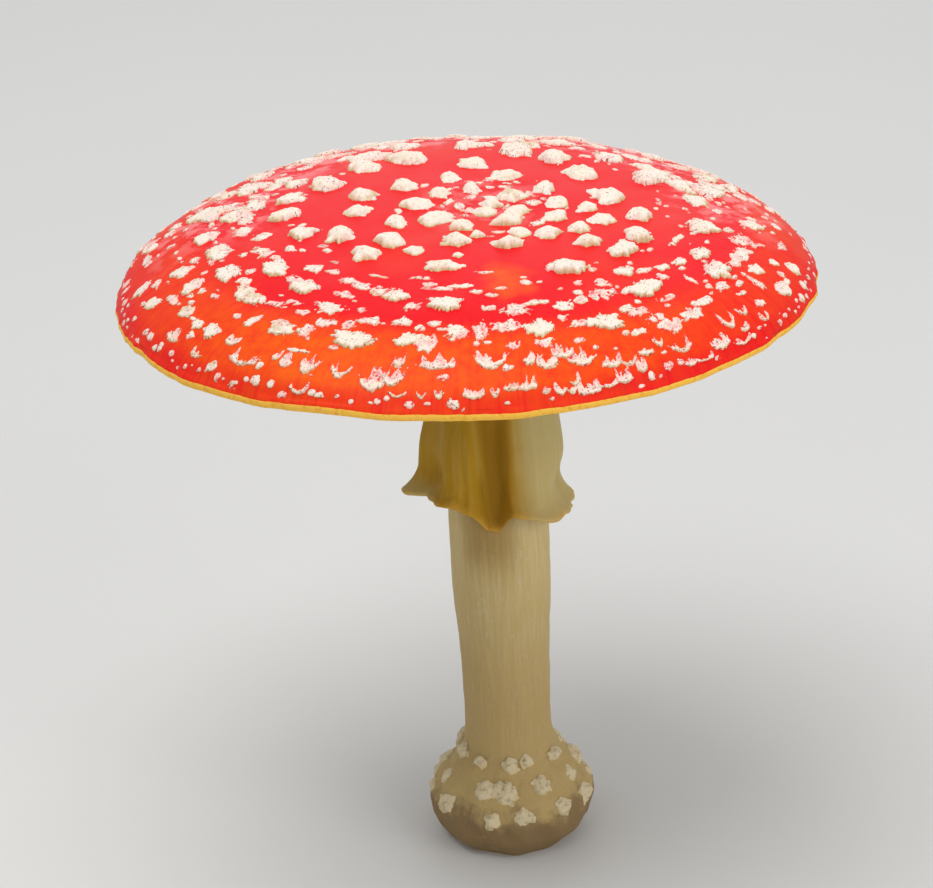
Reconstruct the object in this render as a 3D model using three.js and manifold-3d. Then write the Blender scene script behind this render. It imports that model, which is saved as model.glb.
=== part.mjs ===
// Fly agaric mushroom, picked with its bulb and standing on the flat cut of its foot.
// Millimetres, +Z up, origin at the middle of the cut foot. Azimuths are degrees from +X towards +Y,
// and a share is a distance from the cap's middle over the cap's radius.

import * as THREE from "three";
import { mergeVertices } from "three/addons/utils/BufferGeometryUtils.js";
import Module from "manifold-3d";

// Cap: a low cushion that is flat in the middle and turns down steeply to its rim.
const CAP_RADIUS = 70;
const CAP_SHIFT = -4.4; // the rim lies this far off the stem's axis, along X
const RIM_HEIGHT = 126;
const DOME_HEIGHT = 15.8;
const DOME_FLATNESS = 3.2;
const DOME_ROUNDING = 0.58;
const SHOULDER_X = -0.127; // the cap is higher towards -X, as a share of its height
const SHOULDER_Y = 0.04;
const RIM_WAVES = [
  // order, share of the radius, phase in degrees
  [2, -0.0066, 0],
  [3, 0.0072, -73],
];
const RIM_LIFT = { azimuth: 249, rise: 0.8, narrowness: 22 }; // the rim bends up a little here
const DOME_SHARES = [0.2, 0.38, 0.54, 0.68, 0.79, 0.87, 0.93, 0.97];
const CAP_SEGMENTS = 48;

// Underside of the flesh and the blunt rim, as share and height above the rim's level.
const RIM_PROFILE = [
  [0.995, 1.5],
  [1.004, 0],
  [0.997, -0.8],
  [0.984, -0.9],
  [0.97, 0],
];
const FLESH_PROFILE = [
  [0.82, 4.8],
  [0.5, 6.6],
  [0.18, 6],
];

// Gills: a thin layer under the flesh that carries full blades with short ones between them.
const SEAM = 0.25; // clearance between pieces that touch
const GILL_LAYER = 1;
const GILL_LAYER_SHARES = [0.966, 0.82, 0.5, 0.18];
const GILL_COUNT = 80; // full and short blades take turns
const GILL_THICKNESS = 0.75;
const SHORT_BLADE_START = 0.5;
const GILL_EDGE = [
  // the blades' lower edge, as share and height
  [0.18, 4.3],
  [0.3, -0.3],
  [0.5, -2.2],
  [0.82, -1.7],
  [0.966, -0.5],
];

// Stem: radius at heights above the cut foot. Its widest part is the bulb.
const STEM_PROFILE = [
  [0, 12.6],
  [1.2, 14],
  [4, 16],
  [8, 17],
  [12, 16.1],
  [15.5, 13.7],
  [18.5, 11.1],
  [22, 9.4],
  [30, 9.1],
  [46, 9.5],
  [63, 10.35],
  [100, 10.2],
  [122, 10.6],
];
const STEM_TOP_RADIUS = 11.5;
const STEM_SEGMENTS = 32;
const BULB_TOP = 24;
const BULB_SQUASH = 0.035;

// Ring: the skirt that hangs from the top of the stem, in pleats.
const RING_TOP = 114;
const RING_EDGE = 77.8;
const RING_EDGE_SLOPE = 3.3; // its edge hangs lower towards +X
const RING_WALL = 1;
const RING_GAP = 0.3;
const RING_PROFILE = [
  // share of the way down, radius
  [0, 11.6],
  [0.22, 12.3],
  [0.45, 13.3],
  [0.65, 14.3],
  [0.78, 14.4],
  [0.86, 14.3],
  [0.94, 15],
  [1, 16.6],
];
const RING_PLEATS = [
  // azimuth; how far the edge, the waist over it and the body over that stand out there; and how
  // much higher the edge hangs
  [0, -1.1, -2.1, 0, 0.8],
  [22, 0.6, -0.6, 0, 1],
  [44, -2.2, -1.6, -0.8, -0.6],
  [70, 1.8, 0.4, 0, 1.2],
  [98, -2.4, -1.8, -0.9, -0.8],
  [126, 1.6, 0.4, 0, 1.2],
  [154, -1.8, -1.4, -0.6, -0.6],
  [182, 3.2, -0.3, 0, 0],
  [204, -0.6, -0.9, -0.7, 0.4],
  [228, 0.4, 0.2, 0, 2.2],
  [246, -1.2, -0.2, 0, 1.6],
  [259, -4.8, -2.6, -1.6, -2.2],
  [269, -5, -2.6, -1.6, -2.4],
  [281, -1, 0, 0, 3],
  [296, 0, 0.2, 0, 2.9],
  [318, 0.1, -0.6, 0, 2],
  [342, -0.4, -1.6, 0, 2.6],
];
const WAIST = 0.84; // share of the way down
const WAIST_LENGTH = 0.11;
const RING_SEGMENTS = 60;

// Patches of torn veil on the cap: rows at one share of the radius each.
const PATCH_ROWS = [
  { share: 0.09, width: 6, azimuths: [10, 105, 235, 315] },
  { share: 0.19, width: 6, azimuths: [29, 71, 111, 147, 184, 220, 256, 291, 340] },
  { share: 0.29, width: 6, azimuths: [7, 50, 90, 128, 163, 207, 234, 254, 281, 305, 327, 351] },
  { share: 0.37, width: 7.2, azimuths: [7, 40, 70, 104, 143, 165, 187, 226, 241, 313, 337] },
  { share: 0.46, width: 7.6, azimuths: [22, 60, 88, 116, 142, 208, 227, 256, 318, 329, 348] },
  { share: 0.53, width: 7.2, azimuths: [5, 40, 76, 100, 130, 154, 181, 198, 296] },
  { share: 0.6, width: 7.2, azimuths: [26, 58, 89, 115, 142, 167, 249, 301, 310] },
  { share: 0.66, width: 8.4, azimuths: [7, 43, 74, 103, 128, 153, 214, 227, 262, 298, 319, 347] },
  { share: 0.7, width: 6, azimuths: [24, 60, 90, 116, 176, 254, 278, 289, 332] },
  {
    share: 0.76,
    width: 7.4,
    azimuths: [8, 40, 74, 104, 132, 150, 168, 184, 205, 218, 238, 248, 308, 328],
  },
  { share: 0.79, width: 6, azimuths: [22, 56, 90, 118, 193, 270, 276, 282, 294, 356] },
  {
    share: 0.84,
    width: 6,
    azimuths: [12, 34, 68, 103, 142, 158, 203, 226, 233, 247, 259, 312, 336],
  },
  {
    share: 0.89,
    width: 5.6,
    azimuths: [2, 23, 49, 84, 122, 172, 195, 211, 264, 273, 281, 288, 304, 322],
  },
  {
    share: 0.93,
    width: 5.2,
    azimuths: [12, 36, 66, 102, 150, 186, 202, 220, 229, 242, 249, 256, 293, 297, 336, 345],
  },
  { share: 0.96, width: 4.4, azimuths: [0, 24, 52, 84, 122, 166, 213, 236, 262, 278, 313, 326] },
];
const MARGIN_ROW = { share: 0.977, width: 2.2, count: 32 };

// Scales of torn veil round the bulb: height up the stem, width and number.
const BULB_ROWS = [
  { height: 20, width: 3.4, count: 10 },
  { height: 15.5, width: 4.4, count: 11 },
  { height: 10.5, width: 4.2, count: 12 },
];
const PATCH_ROOT = 0.8; // how deep a patch is sunk into what it lies on
const PATCH_SEED = 7;

const wasm = await Module();
wasm.setup();

const radians = THREE.MathUtils.degToRad;

// Park and Miller's generator: each draw is between 0 and 1.
function seededDraws(seed) {
  let state = seed;
  return () => (state = (state * 16807) % 2147483647) / 2147483647;
}

// Straight lines between the points of a profile given as [position, value].
function along(profile, position) {
  const next = profile.findIndex(([at]) => at >= position);
  if (next < 0) return profile.at(-1)[1];
  if (next === 0) return profile[0][1];
  const [[low, from], [high, to]] = [profile[next - 1], profile[next]];
  return THREE.MathUtils.mapLinear(position, low, high, from, to);
}

// Moves every vertex of a geometry to where place(x, y, z) says.
function warp(geometry, place) {
  const position = geometry.getAttribute("position");
  const vertex = new THREE.Vector3();
  for (let i = 0; i < position.count; i++) {
    vertex.fromBufferAttribute(position, i);
    position.setXYZ(i, ...place(vertex.x, vertex.y, vertex.z).toArray());
  }
  return geometry;
}

// A lathe about +Z whose vertices are then moved to place(radius, height, azimuth).
function warpedLathe(profile, segments, place) {
  const points = profile.map(([radius, height]) => new THREE.Vector2(radius, height));
  const lathe = new THREE.LatheGeometry(points, segments).rotateX(Math.PI / 2);
  return warp(lathe, (x, y, z) => place(Math.hypot(x, y), z, Math.atan2(y, x)));
}

function solidOf(geometry) {
  geometry.deleteAttribute("normal");
  geometry.deleteAttribute("uv");
  const merged = mergeVertices(geometry, 1e-4);
  return new wasm.Manifold(
    new wasm.Mesh({
      numProp: 3,
      vertProperties: merged.getAttribute("position").array,
      triVerts: new Uint32Array(merged.index.array),
    }),
  );
}

function geometryOf(solid) {
  const { vertProperties, triVerts } = solid.getMesh();
  return new THREE.BufferGeometry()
    .setAttribute("position", new THREE.BufferAttribute(vertProperties, 3))
    .setIndex(new THREE.BufferAttribute(triVerts, 1));
}

function joined(body, pieces) {
  return geometryOf(pieces.reduce((solid, piece) => solid.add(solidOf(piece)), solidOf(body)));
}

// The point of the cap at a share of its radius, at a height above the rim's level.
function onCap(share, height, azimuth) {
  const wave = RIM_WAVES.reduce(
    (sum, [order, size, phase]) => sum + size * Math.cos(order * azimuth - radians(phase)),
    0,
  );
  const reach = share * CAP_RADIUS * (1 + wave);
  const shoulder = 1 + share * (SHOULDER_X * Math.cos(azimuth) + SHOULDER_Y * Math.sin(azimuth));
  const away = 1 - Math.cos(azimuth - radians(RIM_LIFT.azimuth));
  const lift = RIM_LIFT.rise * share ** 6 * Math.exp(-RIM_LIFT.narrowness * away);
  return new THREE.Vector3(
    reach * Math.cos(azimuth) + CAP_SHIFT * share ** 2,
    reach * Math.sin(azimuth),
    RIM_HEIGHT + height * shoulder + lift,
  );
}

function domeHeight(share) {
  return DOME_HEIGHT * (1 - share ** DOME_FLATNESS) ** DOME_ROUNDING;
}

// The point of the stem at a height and azimuth; its bulb is slightly squashed.
function onStem(radius, height, azimuth) {
  const bulb = Math.max(0, 1 - height / BULB_TOP) * BULB_SQUASH * Math.cos(2 * azimuth);
  return new THREE.Vector3(
    radius * (1 + bulb) * Math.cos(azimuth),
    radius * (1 - bulb) * Math.sin(azimuth),
    height,
  );
}

// A stub of torn veil on a surface: a low pyramid with uneven corners, and a shoulder if it is wide.
// surface(u, azimuth) gives the surface's points, with u running towards the ground.
function patch(surface, u, azimuth, width, draw) {
  const step = 1e-3;
  const origin = surface(u, azimuth);
  const down = surface(u + step, azimuth).sub(origin).normalize();
  const around = surface(u, azimuth + step).sub(origin).normalize();
  const out = new THREE.Vector3().crossVectors(down, around).normalize();
  const onSurface = new THREE.Matrix4()
    .makeBasis(around.crossVectors(out, down), down.negate(), out)
    .setPosition(origin);
  const height = width * (0.24 + 0.12 * draw());
  const length = 0.7 + 0.25 * draw();
  const isWide = width > 5;
  const sides = isWide ? 5 : 4;
  const corners = Array.from({ length: sides }, () => 0.44 + 0.16 * draw());
  const shoulder = isWide ? [[0.6, 0.72 * height]] : [];
  const profile = [[0, -PATCH_ROOT], [1, -PATCH_ROOT], ...shoulder, [0, height]];
  return warpedLathe(profile, sides, (radius, z, angle) => {
    const corner = Math.round((angle / (2 * Math.PI)) * sides + sides) % sides;
    const reach = width * radius * corners[corner];
    return new THREE.Vector3(reach * Math.cos(angle), reach * Math.sin(angle) * length, z);
  }).applyMatrix4(onSurface);
}

function makeCap() {
  const profile = [
    [0, DOME_HEIGHT],
    ...DOME_SHARES.map((share) => [share, domeHeight(share)]),
    ...RIM_PROFILE,
    ...FLESH_PROFILE,
    [0, FLESH_PROFILE.at(-1)[1]],
  ].reverse();
  const draw = seededDraws(PATCH_SEED);
  const dome = (share, azimuth) => onCap(share, domeHeight(share), azimuth);
  const rows = PATCH_ROWS.flatMap(({ share, width, azimuths }) =>
    azimuths.map((azimuth) => patch(dome, share, radians(azimuth), width * (0.85 + 0.3 * draw()), draw)),
  );
  const margin = Array.from({ length: MARGIN_ROW.count }, (_, i) => {
    const azimuth = radians(((i + 0.6 * draw()) * 360) / MARGIN_ROW.count);
    return patch(dome, MARGIN_ROW.share, azimuth, MARGIN_ROW.width * (0.7 + 0.6 * draw()), draw);
  });
  return joined(warpedLathe(profile, CAP_SEGMENTS, onCap), [...rows, ...margin]);
}

// A comb: a thin layer under the flesh whose lower face drops straight down at each blade. Every
// blade takes four columns of the lathe, one at each side of its root and of its lower edge.
function makeGills() {
  const flesh = [...FLESH_PROFILE, RIM_PROFILE.at(-1)].sort(([a], [b]) => a - b);
  const roof = (share) => along(flesh, share) - SEAM - GILL_LAYER;
  const top = GILL_LAYER_SHARES.map((share) => [share, roof(share) + GILL_LAYER]);
  const bottom = GILL_EDGE.map(([share]) => [share, roof(share)]);
  return warpedLathe([top.at(-1), ...bottom, ...top], 4 * GILL_COUNT, (share, height, azimuth) => {
    const column = Math.round((azimuth / (2 * Math.PI) + 1) * 4 * GILL_COUNT) % (4 * GILL_COUNT);
    const blade = Math.floor(column / 4);
    const corner = column % 4;
    const middle = ((blade + 0.5) * 2 * Math.PI) / GILL_COUNT;
    const isEdge = corner === 1 || corner === 2;
    const isLower = height < roof(share) + GILL_LAYER / 2;
    const isReached = blade % 2 === 0 || share > SHORT_BLADE_START;
    const drop = isEdge && isLower && isReached ? along(GILL_EDGE, share) : height;
    const side = corner < 2 ? -GILL_THICKNESS / 2 : GILL_THICKNESS / 2;
    const across = new THREE.Vector3(-Math.sin(middle), Math.cos(middle), 0);
    return onCap(share, drop, middle).addScaledVector(across, isEdge ? side : 1.1 * side);
  });
}

function makeStem() {
  const top = RIM_HEIGHT + FLESH_PROFILE.at(-1)[1] - SEAM;
  const heights = STEM_PROFILE.map(([height, radius]) => [radius, height]);
  const profile = [[0, 0], ...heights, [STEM_TOP_RADIUS, top], [0, top]];
  const draw = seededDraws(PATCH_SEED);
  const skin = (depth, azimuth) => onStem(along(STEM_PROFILE, -depth), -depth, azimuth);
  const scales = BULB_ROWS.flatMap(({ height, width, count }) =>
    Array.from({ length: count }, (_, i) => {
      const azimuth = radians(((i + 0.5 * draw()) * 360) / count);
      return patch(skin, -height, azimuth, width * (0.8 + 0.4 * draw()), draw);
    }),
  );
  return joined(warpedLathe(profile, STEM_SEGMENTS, onStem), scales);
}

// How far the skirt's edge and its waist stand out at an azimuth, turning smoothly between pleats.
function pleat(azimuth) {
  const degrees = THREE.MathUtils.euclideanModulo(THREE.MathUtils.radToDeg(azimuth), 360);
  const next = RING_PLEATS.findIndex(([at]) => at > degrees);
  const [end, ...endOffsets] = RING_PLEATS.at(Math.max(next, 0));
  const [start, ...startOffsets] = RING_PLEATS.at(next < 0 ? -1 : next - 1);
  const part = (degrees - start) / THREE.MathUtils.euclideanModulo(end - start, 360);
  const turn = THREE.MathUtils.smoothstep(part, 0, 1);
  return startOffsets.map((offset, index) => THREE.MathUtils.lerp(offset, endOffsets[index], turn));
}

function makeRing() {
  const outer = RING_PROFILE.map(([down, radius]) => [radius, -down]);
  const inner = outer.map(([radius, down]) => [radius - RING_WALL, down]).reverse();
  const profile = [...outer, ...inner, outer[0]].reverse();
  return warpedLathe(profile, RING_SEGMENTS, (radius, minusDown, azimuth) => {
    const down = -minusDown;
    const [edge, waist, body, up] = pleat(azimuth);
    const lowest = RING_EDGE + up - RING_EDGE_SLOPE * Math.cos(azimuth);
    const height = THREE.MathUtils.lerp(RING_TOP, lowest, down);
    const pinch = Math.exp(-(((down - WAIST) / WAIST_LENGTH) ** 2));
    const middle = THREE.MathUtils.smoothstep(down, 0.1, 0.5) - THREE.MathUtils.smoothstep(down, 0.75, 1);
    const isInner = radius < along(RING_PROFILE, down) - RING_WALL / 2;
    const least = along(STEM_PROFILE, height) + RING_GAP + (isInner ? 0 : RING_WALL);
    const pleated = radius + edge * down ** 3 + waist * pinch + body * middle;
    return onStem(Math.max(least, pleated), height, azimuth);
  });
}

const PIECES = {
  cap: { make: makeCap, color: 0xc9200f, roughness: 0.35 },
  gills: { make: makeGills, color: 0xf1e8cf, roughness: 0.7 },
  stem: { make: makeStem, color: 0xe6dcb8, roughness: 0.75 },
  ring: { make: makeRing, color: 0xdccb8c, roughness: 0.7 },
};

const mushroom = new THREE.Group();
for (const [name, { make, color, roughness }] of Object.entries(PIECES)) {
  const material = new THREE.MeshStandardMaterial({ color, roughness, metalness: 0 });
  const piece = new THREE.Mesh(make(), material);
  piece.name = name;
  mushroom.add(piece);
}

export default mushroom;
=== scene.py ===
"""Fly agaric mushroom: the finished surfaces, laid out as a Blender add-on.

Lengths are in metres and angles in degrees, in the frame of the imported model: +Z up, origin at the
middle of the cut foot. An azimuth runs from +X towards +Y. A share is a distance from the middle of
the cap over the cap's radius.
"""

import bpy
import numpy as np
from bpy.props import FloatProperty, FloatVectorProperty, PointerProperty
from mathutils import Matrix


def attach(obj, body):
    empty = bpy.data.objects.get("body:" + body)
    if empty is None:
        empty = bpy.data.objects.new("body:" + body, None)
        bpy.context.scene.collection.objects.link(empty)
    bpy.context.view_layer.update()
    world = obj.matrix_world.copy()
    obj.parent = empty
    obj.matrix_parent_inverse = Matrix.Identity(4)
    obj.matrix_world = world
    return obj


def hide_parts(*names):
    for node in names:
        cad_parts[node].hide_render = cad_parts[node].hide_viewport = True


bl_info = {
    "name": "Fly agaric mushroom",
    "version": (1, 0, 0),
    "blender": (4, 5, 0),
    "location": "3D View > Sidebar > Mushroom",
    "description": "Builds a fly agaric with its warts, gills, ring and scaly bulb",
    "category": "Add Mesh",
}

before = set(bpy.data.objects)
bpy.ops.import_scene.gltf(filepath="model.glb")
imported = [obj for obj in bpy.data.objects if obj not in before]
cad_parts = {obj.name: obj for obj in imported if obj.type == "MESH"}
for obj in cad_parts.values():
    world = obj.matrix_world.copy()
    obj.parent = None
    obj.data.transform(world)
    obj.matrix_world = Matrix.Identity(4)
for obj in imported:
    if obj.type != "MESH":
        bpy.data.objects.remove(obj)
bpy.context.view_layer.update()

MM = 0.001
TURN = 2 * np.pi

# The dome and the rim, as in the solids: order, share of the radius and phase of each rim wave.
DOME_FLATNESS = 3.2
DOME_ROUNDING = 0.58
RIM_WAVES = ((2, -0.0066, 0.0), (3, 0.0072, -73.0))
RIM_LIFT = (249.0, 0.8, 22.0)  # azimuth, rise in mm, narrowness

# The cap's mesh: columns round it, rings down the dome, and rings round the lip and under it.
CAP_COLUMNS = 400
CAP_RINGS = 92
LIP_RINGS = 26

# From the lip round the rim and back along the underside: share, height over the rim in mm.
LIP = (
    (0.9935, 1.67),
    (1.001, 0.95),
    (1.0045, 0.15),
    (1.002, -0.55),
    (0.994, -0.9),
    (0.984, -0.8),
    (0.974, -0.2),
    (0.966, 0.6),
)
FLESH = ((0.93, 2.2), (0.82, 4.8), (0.66, 6.0), (0.5, 6.6), (0.3, 6.4), (0.18, 6.0), (0.05, 6.0))
GILL_EDGE = ((0.17, 4.6), (0.22, 2.4), (0.3, -0.3), (0.5, -2.2), (0.82, -1.7), (0.966, -0.4))

# Where the skin is orange: the azimuth of the zone's front, and the share and azimuth of a spot.
ORANGE_FRONT = 254.0
ORANGE_SPOT = (0.55, 277.0)

# Gill blades: how many, how far they are turned against their step, the share they start at, how
# deep they are against a full blade, the part of their length in which they get so deep, and how
# many stations they have.
GILL_SETS = (
    (96, 0.0, 0.175, 1.0, 0.04, 16),
    (96, 0.5, 0.44, 0.86, 0.35, 12),
    (192, 0.5, 0.72, 0.62, 0.35, 8),
)
GILL_END = 0.968
GILL_SUNK = 0.35  # how far a blade's root goes into the flesh, in mm
GILL_LEAST = 0.12  # the depth of a blade's ends against a full blade

# Stem: height and radius in mm.
STEM = (
    (0.6, 13.4),
    (1.6, 14.4),
    (4.0, 16.0),
    (8.0, 16.9),
    (12.0, 16.0),
    (15.5, 13.6),
    (18.5, 11.2),
    (22.0, 9.5),
    (30.0, 9.1),
    (46.0, 9.5),
    (63.0, 10.3),
    (100.0, 10.2),
    (122.0, 10.6),
    (131.6, 11.4),
)
STEM_FOOT = (0.2, 12.9)  # the rounded edge of the cut, under the first of the heights
STEM_TOP = 131.75  # the height of the flat top, which is in the cap's flesh
STEM_COLUMNS = 180  # round the stem
STEM_RINGS = 190  # up its side
STEM_SHADOW = 256.0  # the azimuth of the shadow painted on the stem under the ring

# Scales on the bulb: height and width in mm, and number in each row.
BULB_ROWS = ((20.0, 3.6, 10), (15.5, 4.8, 11), (10.5, 4.6, 12))

# Ring: share of the way down and radius in mm.
RING = (
    (0.0, 10.5),
    (0.05, 11.1),
    (0.22, 12.3),
    (0.45, 13.3),
    (0.65, 14.3),
    (0.78, 14.4),
    (0.86, 14.3),
    (0.94, 15.0),
    (1.0, 16.4),
)
RING_COLUMNS = 360  # round the ring
RING_ROWS = (60, 6, 26)  # down the outside, round the edge and up the inside
RING_OCHRE_SHADED = 220.0  # the azimuths of its ochre side, painted darker there as shade too, and of the pale tip in it
RING_TIP = 190.0

# Pleats: azimuth; how far the edge, the waist over it and the body over that stand out there; and
# how much higher the edge hangs, in mm.
PLEATS = (
    (0, -1.1, -2.1, 0, 0.8),
    (22, 0.6, -0.6, 0, 1.0),
    (44, -2.2, -1.6, -0.8, -0.6),
    (70, 1.8, 0.4, 0, 1.2),
    (98, -2.4, -1.8, -0.9, -0.8),
    (126, 1.6, 0.4, 0, 1.2),
    (154, -1.8, -1.4, -0.6, -0.6),
    (182, 3.2, -0.3, 0, 0),
    (204, -0.6, -0.9, -0.7, 0.4),
    (228, 0.4, 0.2, 0, 2.2),
    (246, -1.2, -0.2, 0, 1.6),
    (259, -4.8, -2.6, -1.6, -2.2),
    (269, -5.0, -2.6, -1.6, -2.4),
    (281, -1.0, 0, 0, 3.0),
    (296, 0, 0.2, 0, 2.9),
    (318, 0.1, -0.6, 0, 2.0),
    (342, -0.4, -1.6, 0, 2.6),
)

# Thick warts: azimuth, share, width across the slope and length down it in mm.
LUMPS = (
    (0, 0.02, 5, 4), (270, 0.07, 6, 5), (33, 0.095, 6, 6), (326, 0.117, 5, 5), (105, 0.118, 4, 5),
    (143, 0.155, 4.5, 4), (293, 0.163, 8, 4), (220, 0.173, 5, 8), (250, 0.19, 4.5, 5),
    (180, 0.193, 5.5, 6), (29, 0.205, 5, 5), (356, 0.208, 5, 5), (330, 0.234, 5, 5.5),
    (71, 0.236, 6.5, 6), (111, 0.239, 4.5, 5), (292, 0.25, 4.5, 4), (266, 0.25, 3, 3),
    (144, 0.27, 5.5, 6), (207, 0.272, 5.5, 4.5), (254.5, 0.296, 6, 5), (305, 0.3, 5.5, 5),
    (350, 0.3, 4.5, 4.5), (281.5, 0.324, 6.5, 4.5), (321.5, 0.338, 4.5, 4.5), (92, 0.35, 6, 6),
    (165, 0.35, 6, 6), (186, 0.35, 5.5, 5), (337, 0.36, 5.5, 5), (227, 0.369, 7, 5),
    (7, 0.37, 7, 6.5), (240.5, 0.386, 4, 4), (40, 0.39, 8.5, 7), (259.5, 0.39, 2.5, 2.5),
    (313, 0.417, 6, 5), (208.5, 0.44, 5.5, 5.5), (60, 0.453, 6.5, 7), (116, 0.46, 8, 9),
    (348, 0.46, 5.5, 6), (227, 0.465, 7, 5), (256.5, 0.465, 7.5, 4.5), (154.5, 0.49, 6.5, 7),
    (132, 0.49, 6, 7), (76, 0.5, 6.5, 7), (329.5, 0.5, 6.5, 6), (198.5, 0.515, 5.5, 5.5),
    (318, 0.515, 7.5, 5.5), (296, 0.52, 7.5, 6), (92, 0.54, 6, 6), (181, 0.55, 6, 6),
    (26, 0.58, 8, 8), (309.5, 0.615, 4.5, 4), (249.5, 0.635, 6, 4.5), (7, 0.64, 7, 6.5),
    (347, 0.645, 7.5, 6.5), (213.5, 0.66, 7, 4.5), (319, 0.66, 3.5, 3), (262, 0.665, 7.5, 5.5),
    (324.5, 0.67, 4.5, 3.5), (227, 0.68, 7.5, 5), (332, 0.695, 5.5, 4.5), (308.5, 0.715, 8.5, 5),
    (193, 0.735, 6.5, 5.5), (205.5, 0.75, 7, 5), (183.5, 0.76, 5.5, 5), (218, 0.77, 9, 5),
    (328.5, 0.775, 6.5, 6.5), (168, 0.78, 9, 8), (282, 0.785, 5.5, 6), (356, 0.79, 5, 6),
    (294.5, 0.8, 7, 5.5), (257, 0.82, 5, 4.5), (195.5, 0.84, 5, 4.5), (203, 0.84, 5, 5),
    (247.3, 0.835, 8.5, 4.5), (336.5, 0.85, 4.5, 4), (232.5, 0.84, 6, 4.5), (342.5, 0.88, 2.5, 2.5),
    (215.5, 0.905, 3, 3), (210.5, 0.895, 4, 3.5), (219.5, 0.905, 4, 4), (200, 0.925, 4, 4),
    (192, 0.935, 4, 4), (345, 0.93, 4, 5), (336, 0.94, 4, 5),
)

# Thin torn films: the same four numbers.
FILMS = (
    (270, 0.495, 4, 1.5), (252, 0.535, 4.5, 1.5), (241, 0.555, 6, 1.2), (255.5, 0.57, 3.5, 2.5),
    (264.5, 0.575, 6, 2), (258.5, 0.59, 8, 1.5), (221.5, 0.6, 4, 3), (234, 0.61, 4, 3),
    (238, 0.612, 4, 2.5), (337, 0.6, 7, 2), (269, 0.61, 3.5, 2), (239.5, 0.62, 4, 2),
    (273, 0.625, 3.5, 1.5), (301, 0.635, 3, 4), (314, 0.64, 4.5, 2.2), (203, 0.64, 8, 3),
    (152, 0.66, 7, 5), (161, 0.67, 7, 5), (170, 0.68, 7, 5), (178, 0.66, 6, 4), (186, 0.66, 6, 4),
    (237.5, 0.67, 4.5, 2.5), (282.5, 0.675, 6, 2), (298, 0.685, 7, 5), (254.5, 0.685, 4.5, 3),
    (272, 0.69, 4, 2.5), (293, 0.695, 3.5, 3), (278, 0.7, 6.5, 4), (124, 0.7, 8, 6),
    (288.5, 0.705, 4.5, 4), (238, 0.735, 8.5, 3.5), (320, 0.755, 1.5, 5), (248, 0.76, 5, 3),
    (226, 0.77, 6, 2), (275.5, 0.77, 6, 4), (233.5, 0.775, 5, 2), (300.5, 0.775, 4, 3),
    (346, 0.78, 6, 8), (244.5, 0.785, 3.5, 3), (338.5, 0.79, 12, 4), (270.5, 0.79, 4, 6),
    (290, 0.79, 5, 2.5), (266, 0.795, 5, 4.5), (302.5, 0.8, 5, 3), (261, 0.83, 5, 6),
    (237.5, 0.83, 4.5, 4), (317, 0.84, 6.5, 2.5), (225, 0.84, 4.5, 3.5), (304.5, 0.845, 5, 3),
    (276.5, 0.845, 3, 3), (312, 0.865, 6, 3.5), (306.5, 0.875, 6, 4.5), (332, 0.875, 2.5, 6),
    (239, 0.895, 7, 1),
)

# Torn crowns whose points run uphill: the same four numbers.
CROWNS = (
    (272.5, 0.885, 7, 6), (257.3, 0.885, 2.5, 5), (285, 0.88, 5, 4), (263.7, 0.89, 8, 4.5),
    (279, 0.89, 3, 4.5), (282, 0.9, 5, 4.5), (288, 0.905, 7, 5), (302, 0.905, 2.5, 4.5),
    (225.5, 0.905, 4, 3), (236, 0.915, 2, 3.5), (322, 0.915, 3.5, 4), (317.5, 0.92, 4.5, 5),
    (299, 0.92, 4, 4), (242.5, 0.92, 4.5, 6), (238.3, 0.925, 3, 4), (248.2, 0.925, 5, 5),
    (292.5, 0.93, 5, 4), (230.3, 0.935, 8, 5), (257, 0.935, 5, 5), (295.5, 0.935, 4, 4.5),
    (305.8, 0.935, 6, 5), (254, 0.94, 6, 7), (213, 0.945, 5, 4.5), (278.3, 0.95, 4.5, 5),
    (220.5, 0.955, 3.5, 3.5), (275.8, 0.955, 3.5, 4), (297.3, 0.955, 2.5, 4), (319.8, 0.955, 3, 3),
    (325.5, 0.955, 3.5, 3.5), (313.3, 0.96, 5.5, 4.5), (286, 0.96, 2.5, 3), (270, 0.965, 5, 4),
    (262, 0.965, 2.2, 4), (264.7, 0.965, 2.2, 4), (273.3, 0.965, 2.2, 4), (281.3, 0.965, 2.2, 4),
    (258.3, 0.97, 4, 2.5), (283.5, 0.97, 3, 4), (294, 0.97, 4, 4), (288, 0.975, 5.5, 5),
    (285.3, 0.975, 2.5, 3), (242.5, 0.978, 4.5, 3), (306, 0.98, 4, 2), (309, 0.98, 5, 2),
    (318, 0.98, 6, 2), (291, 0.98, 5, 2),
)

# The far side: share, mean width in mm and number in each row between the two azimuths.
FAR_LUMPS = (
    (0.57, 6.5, 7), (0.64, 6.5, 8), (0.71, 6.5, 9), (0.78, 6.0, 11), (0.845, 5.5, 10),
    (0.9, 4.6, 10), (0.94, 4.0, 8),
)
FAR_FILMS = ((0.675, 6.0, 6), (0.75, 6.5, 9), (0.81, 5.5, 11), (0.87, 5.5, 12))
FAR_CROWNS = ((0.915, 5.0, 9), (0.945, 4.5, 13), (0.968, 4.0, 18))
FAR_SIDE = (8.0, 180.0)

# Specks: how many are tried, and what part of them near the rim.
SPECK_COUNT = 900
SPECKS_AT_RIM = 0.7

# Wisps between the larger patches: azimuths and shares they lie between, and how many are tried.
WISP_AREAS = (
    (194, 246, 0.70, 0.93, 60), (294, 346, 0.60, 0.93, 60), (246, 294, 0.72, 0.96, 40),
    (346, 554, 0.60, 0.95, 160), (194, 250, 0.54, 0.7, 10), (0, 360, 0.03, 0.26, 90),
)

PATCH_SUNK = 0.0004  # how far the walls of a patch go into what it lies on

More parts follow.
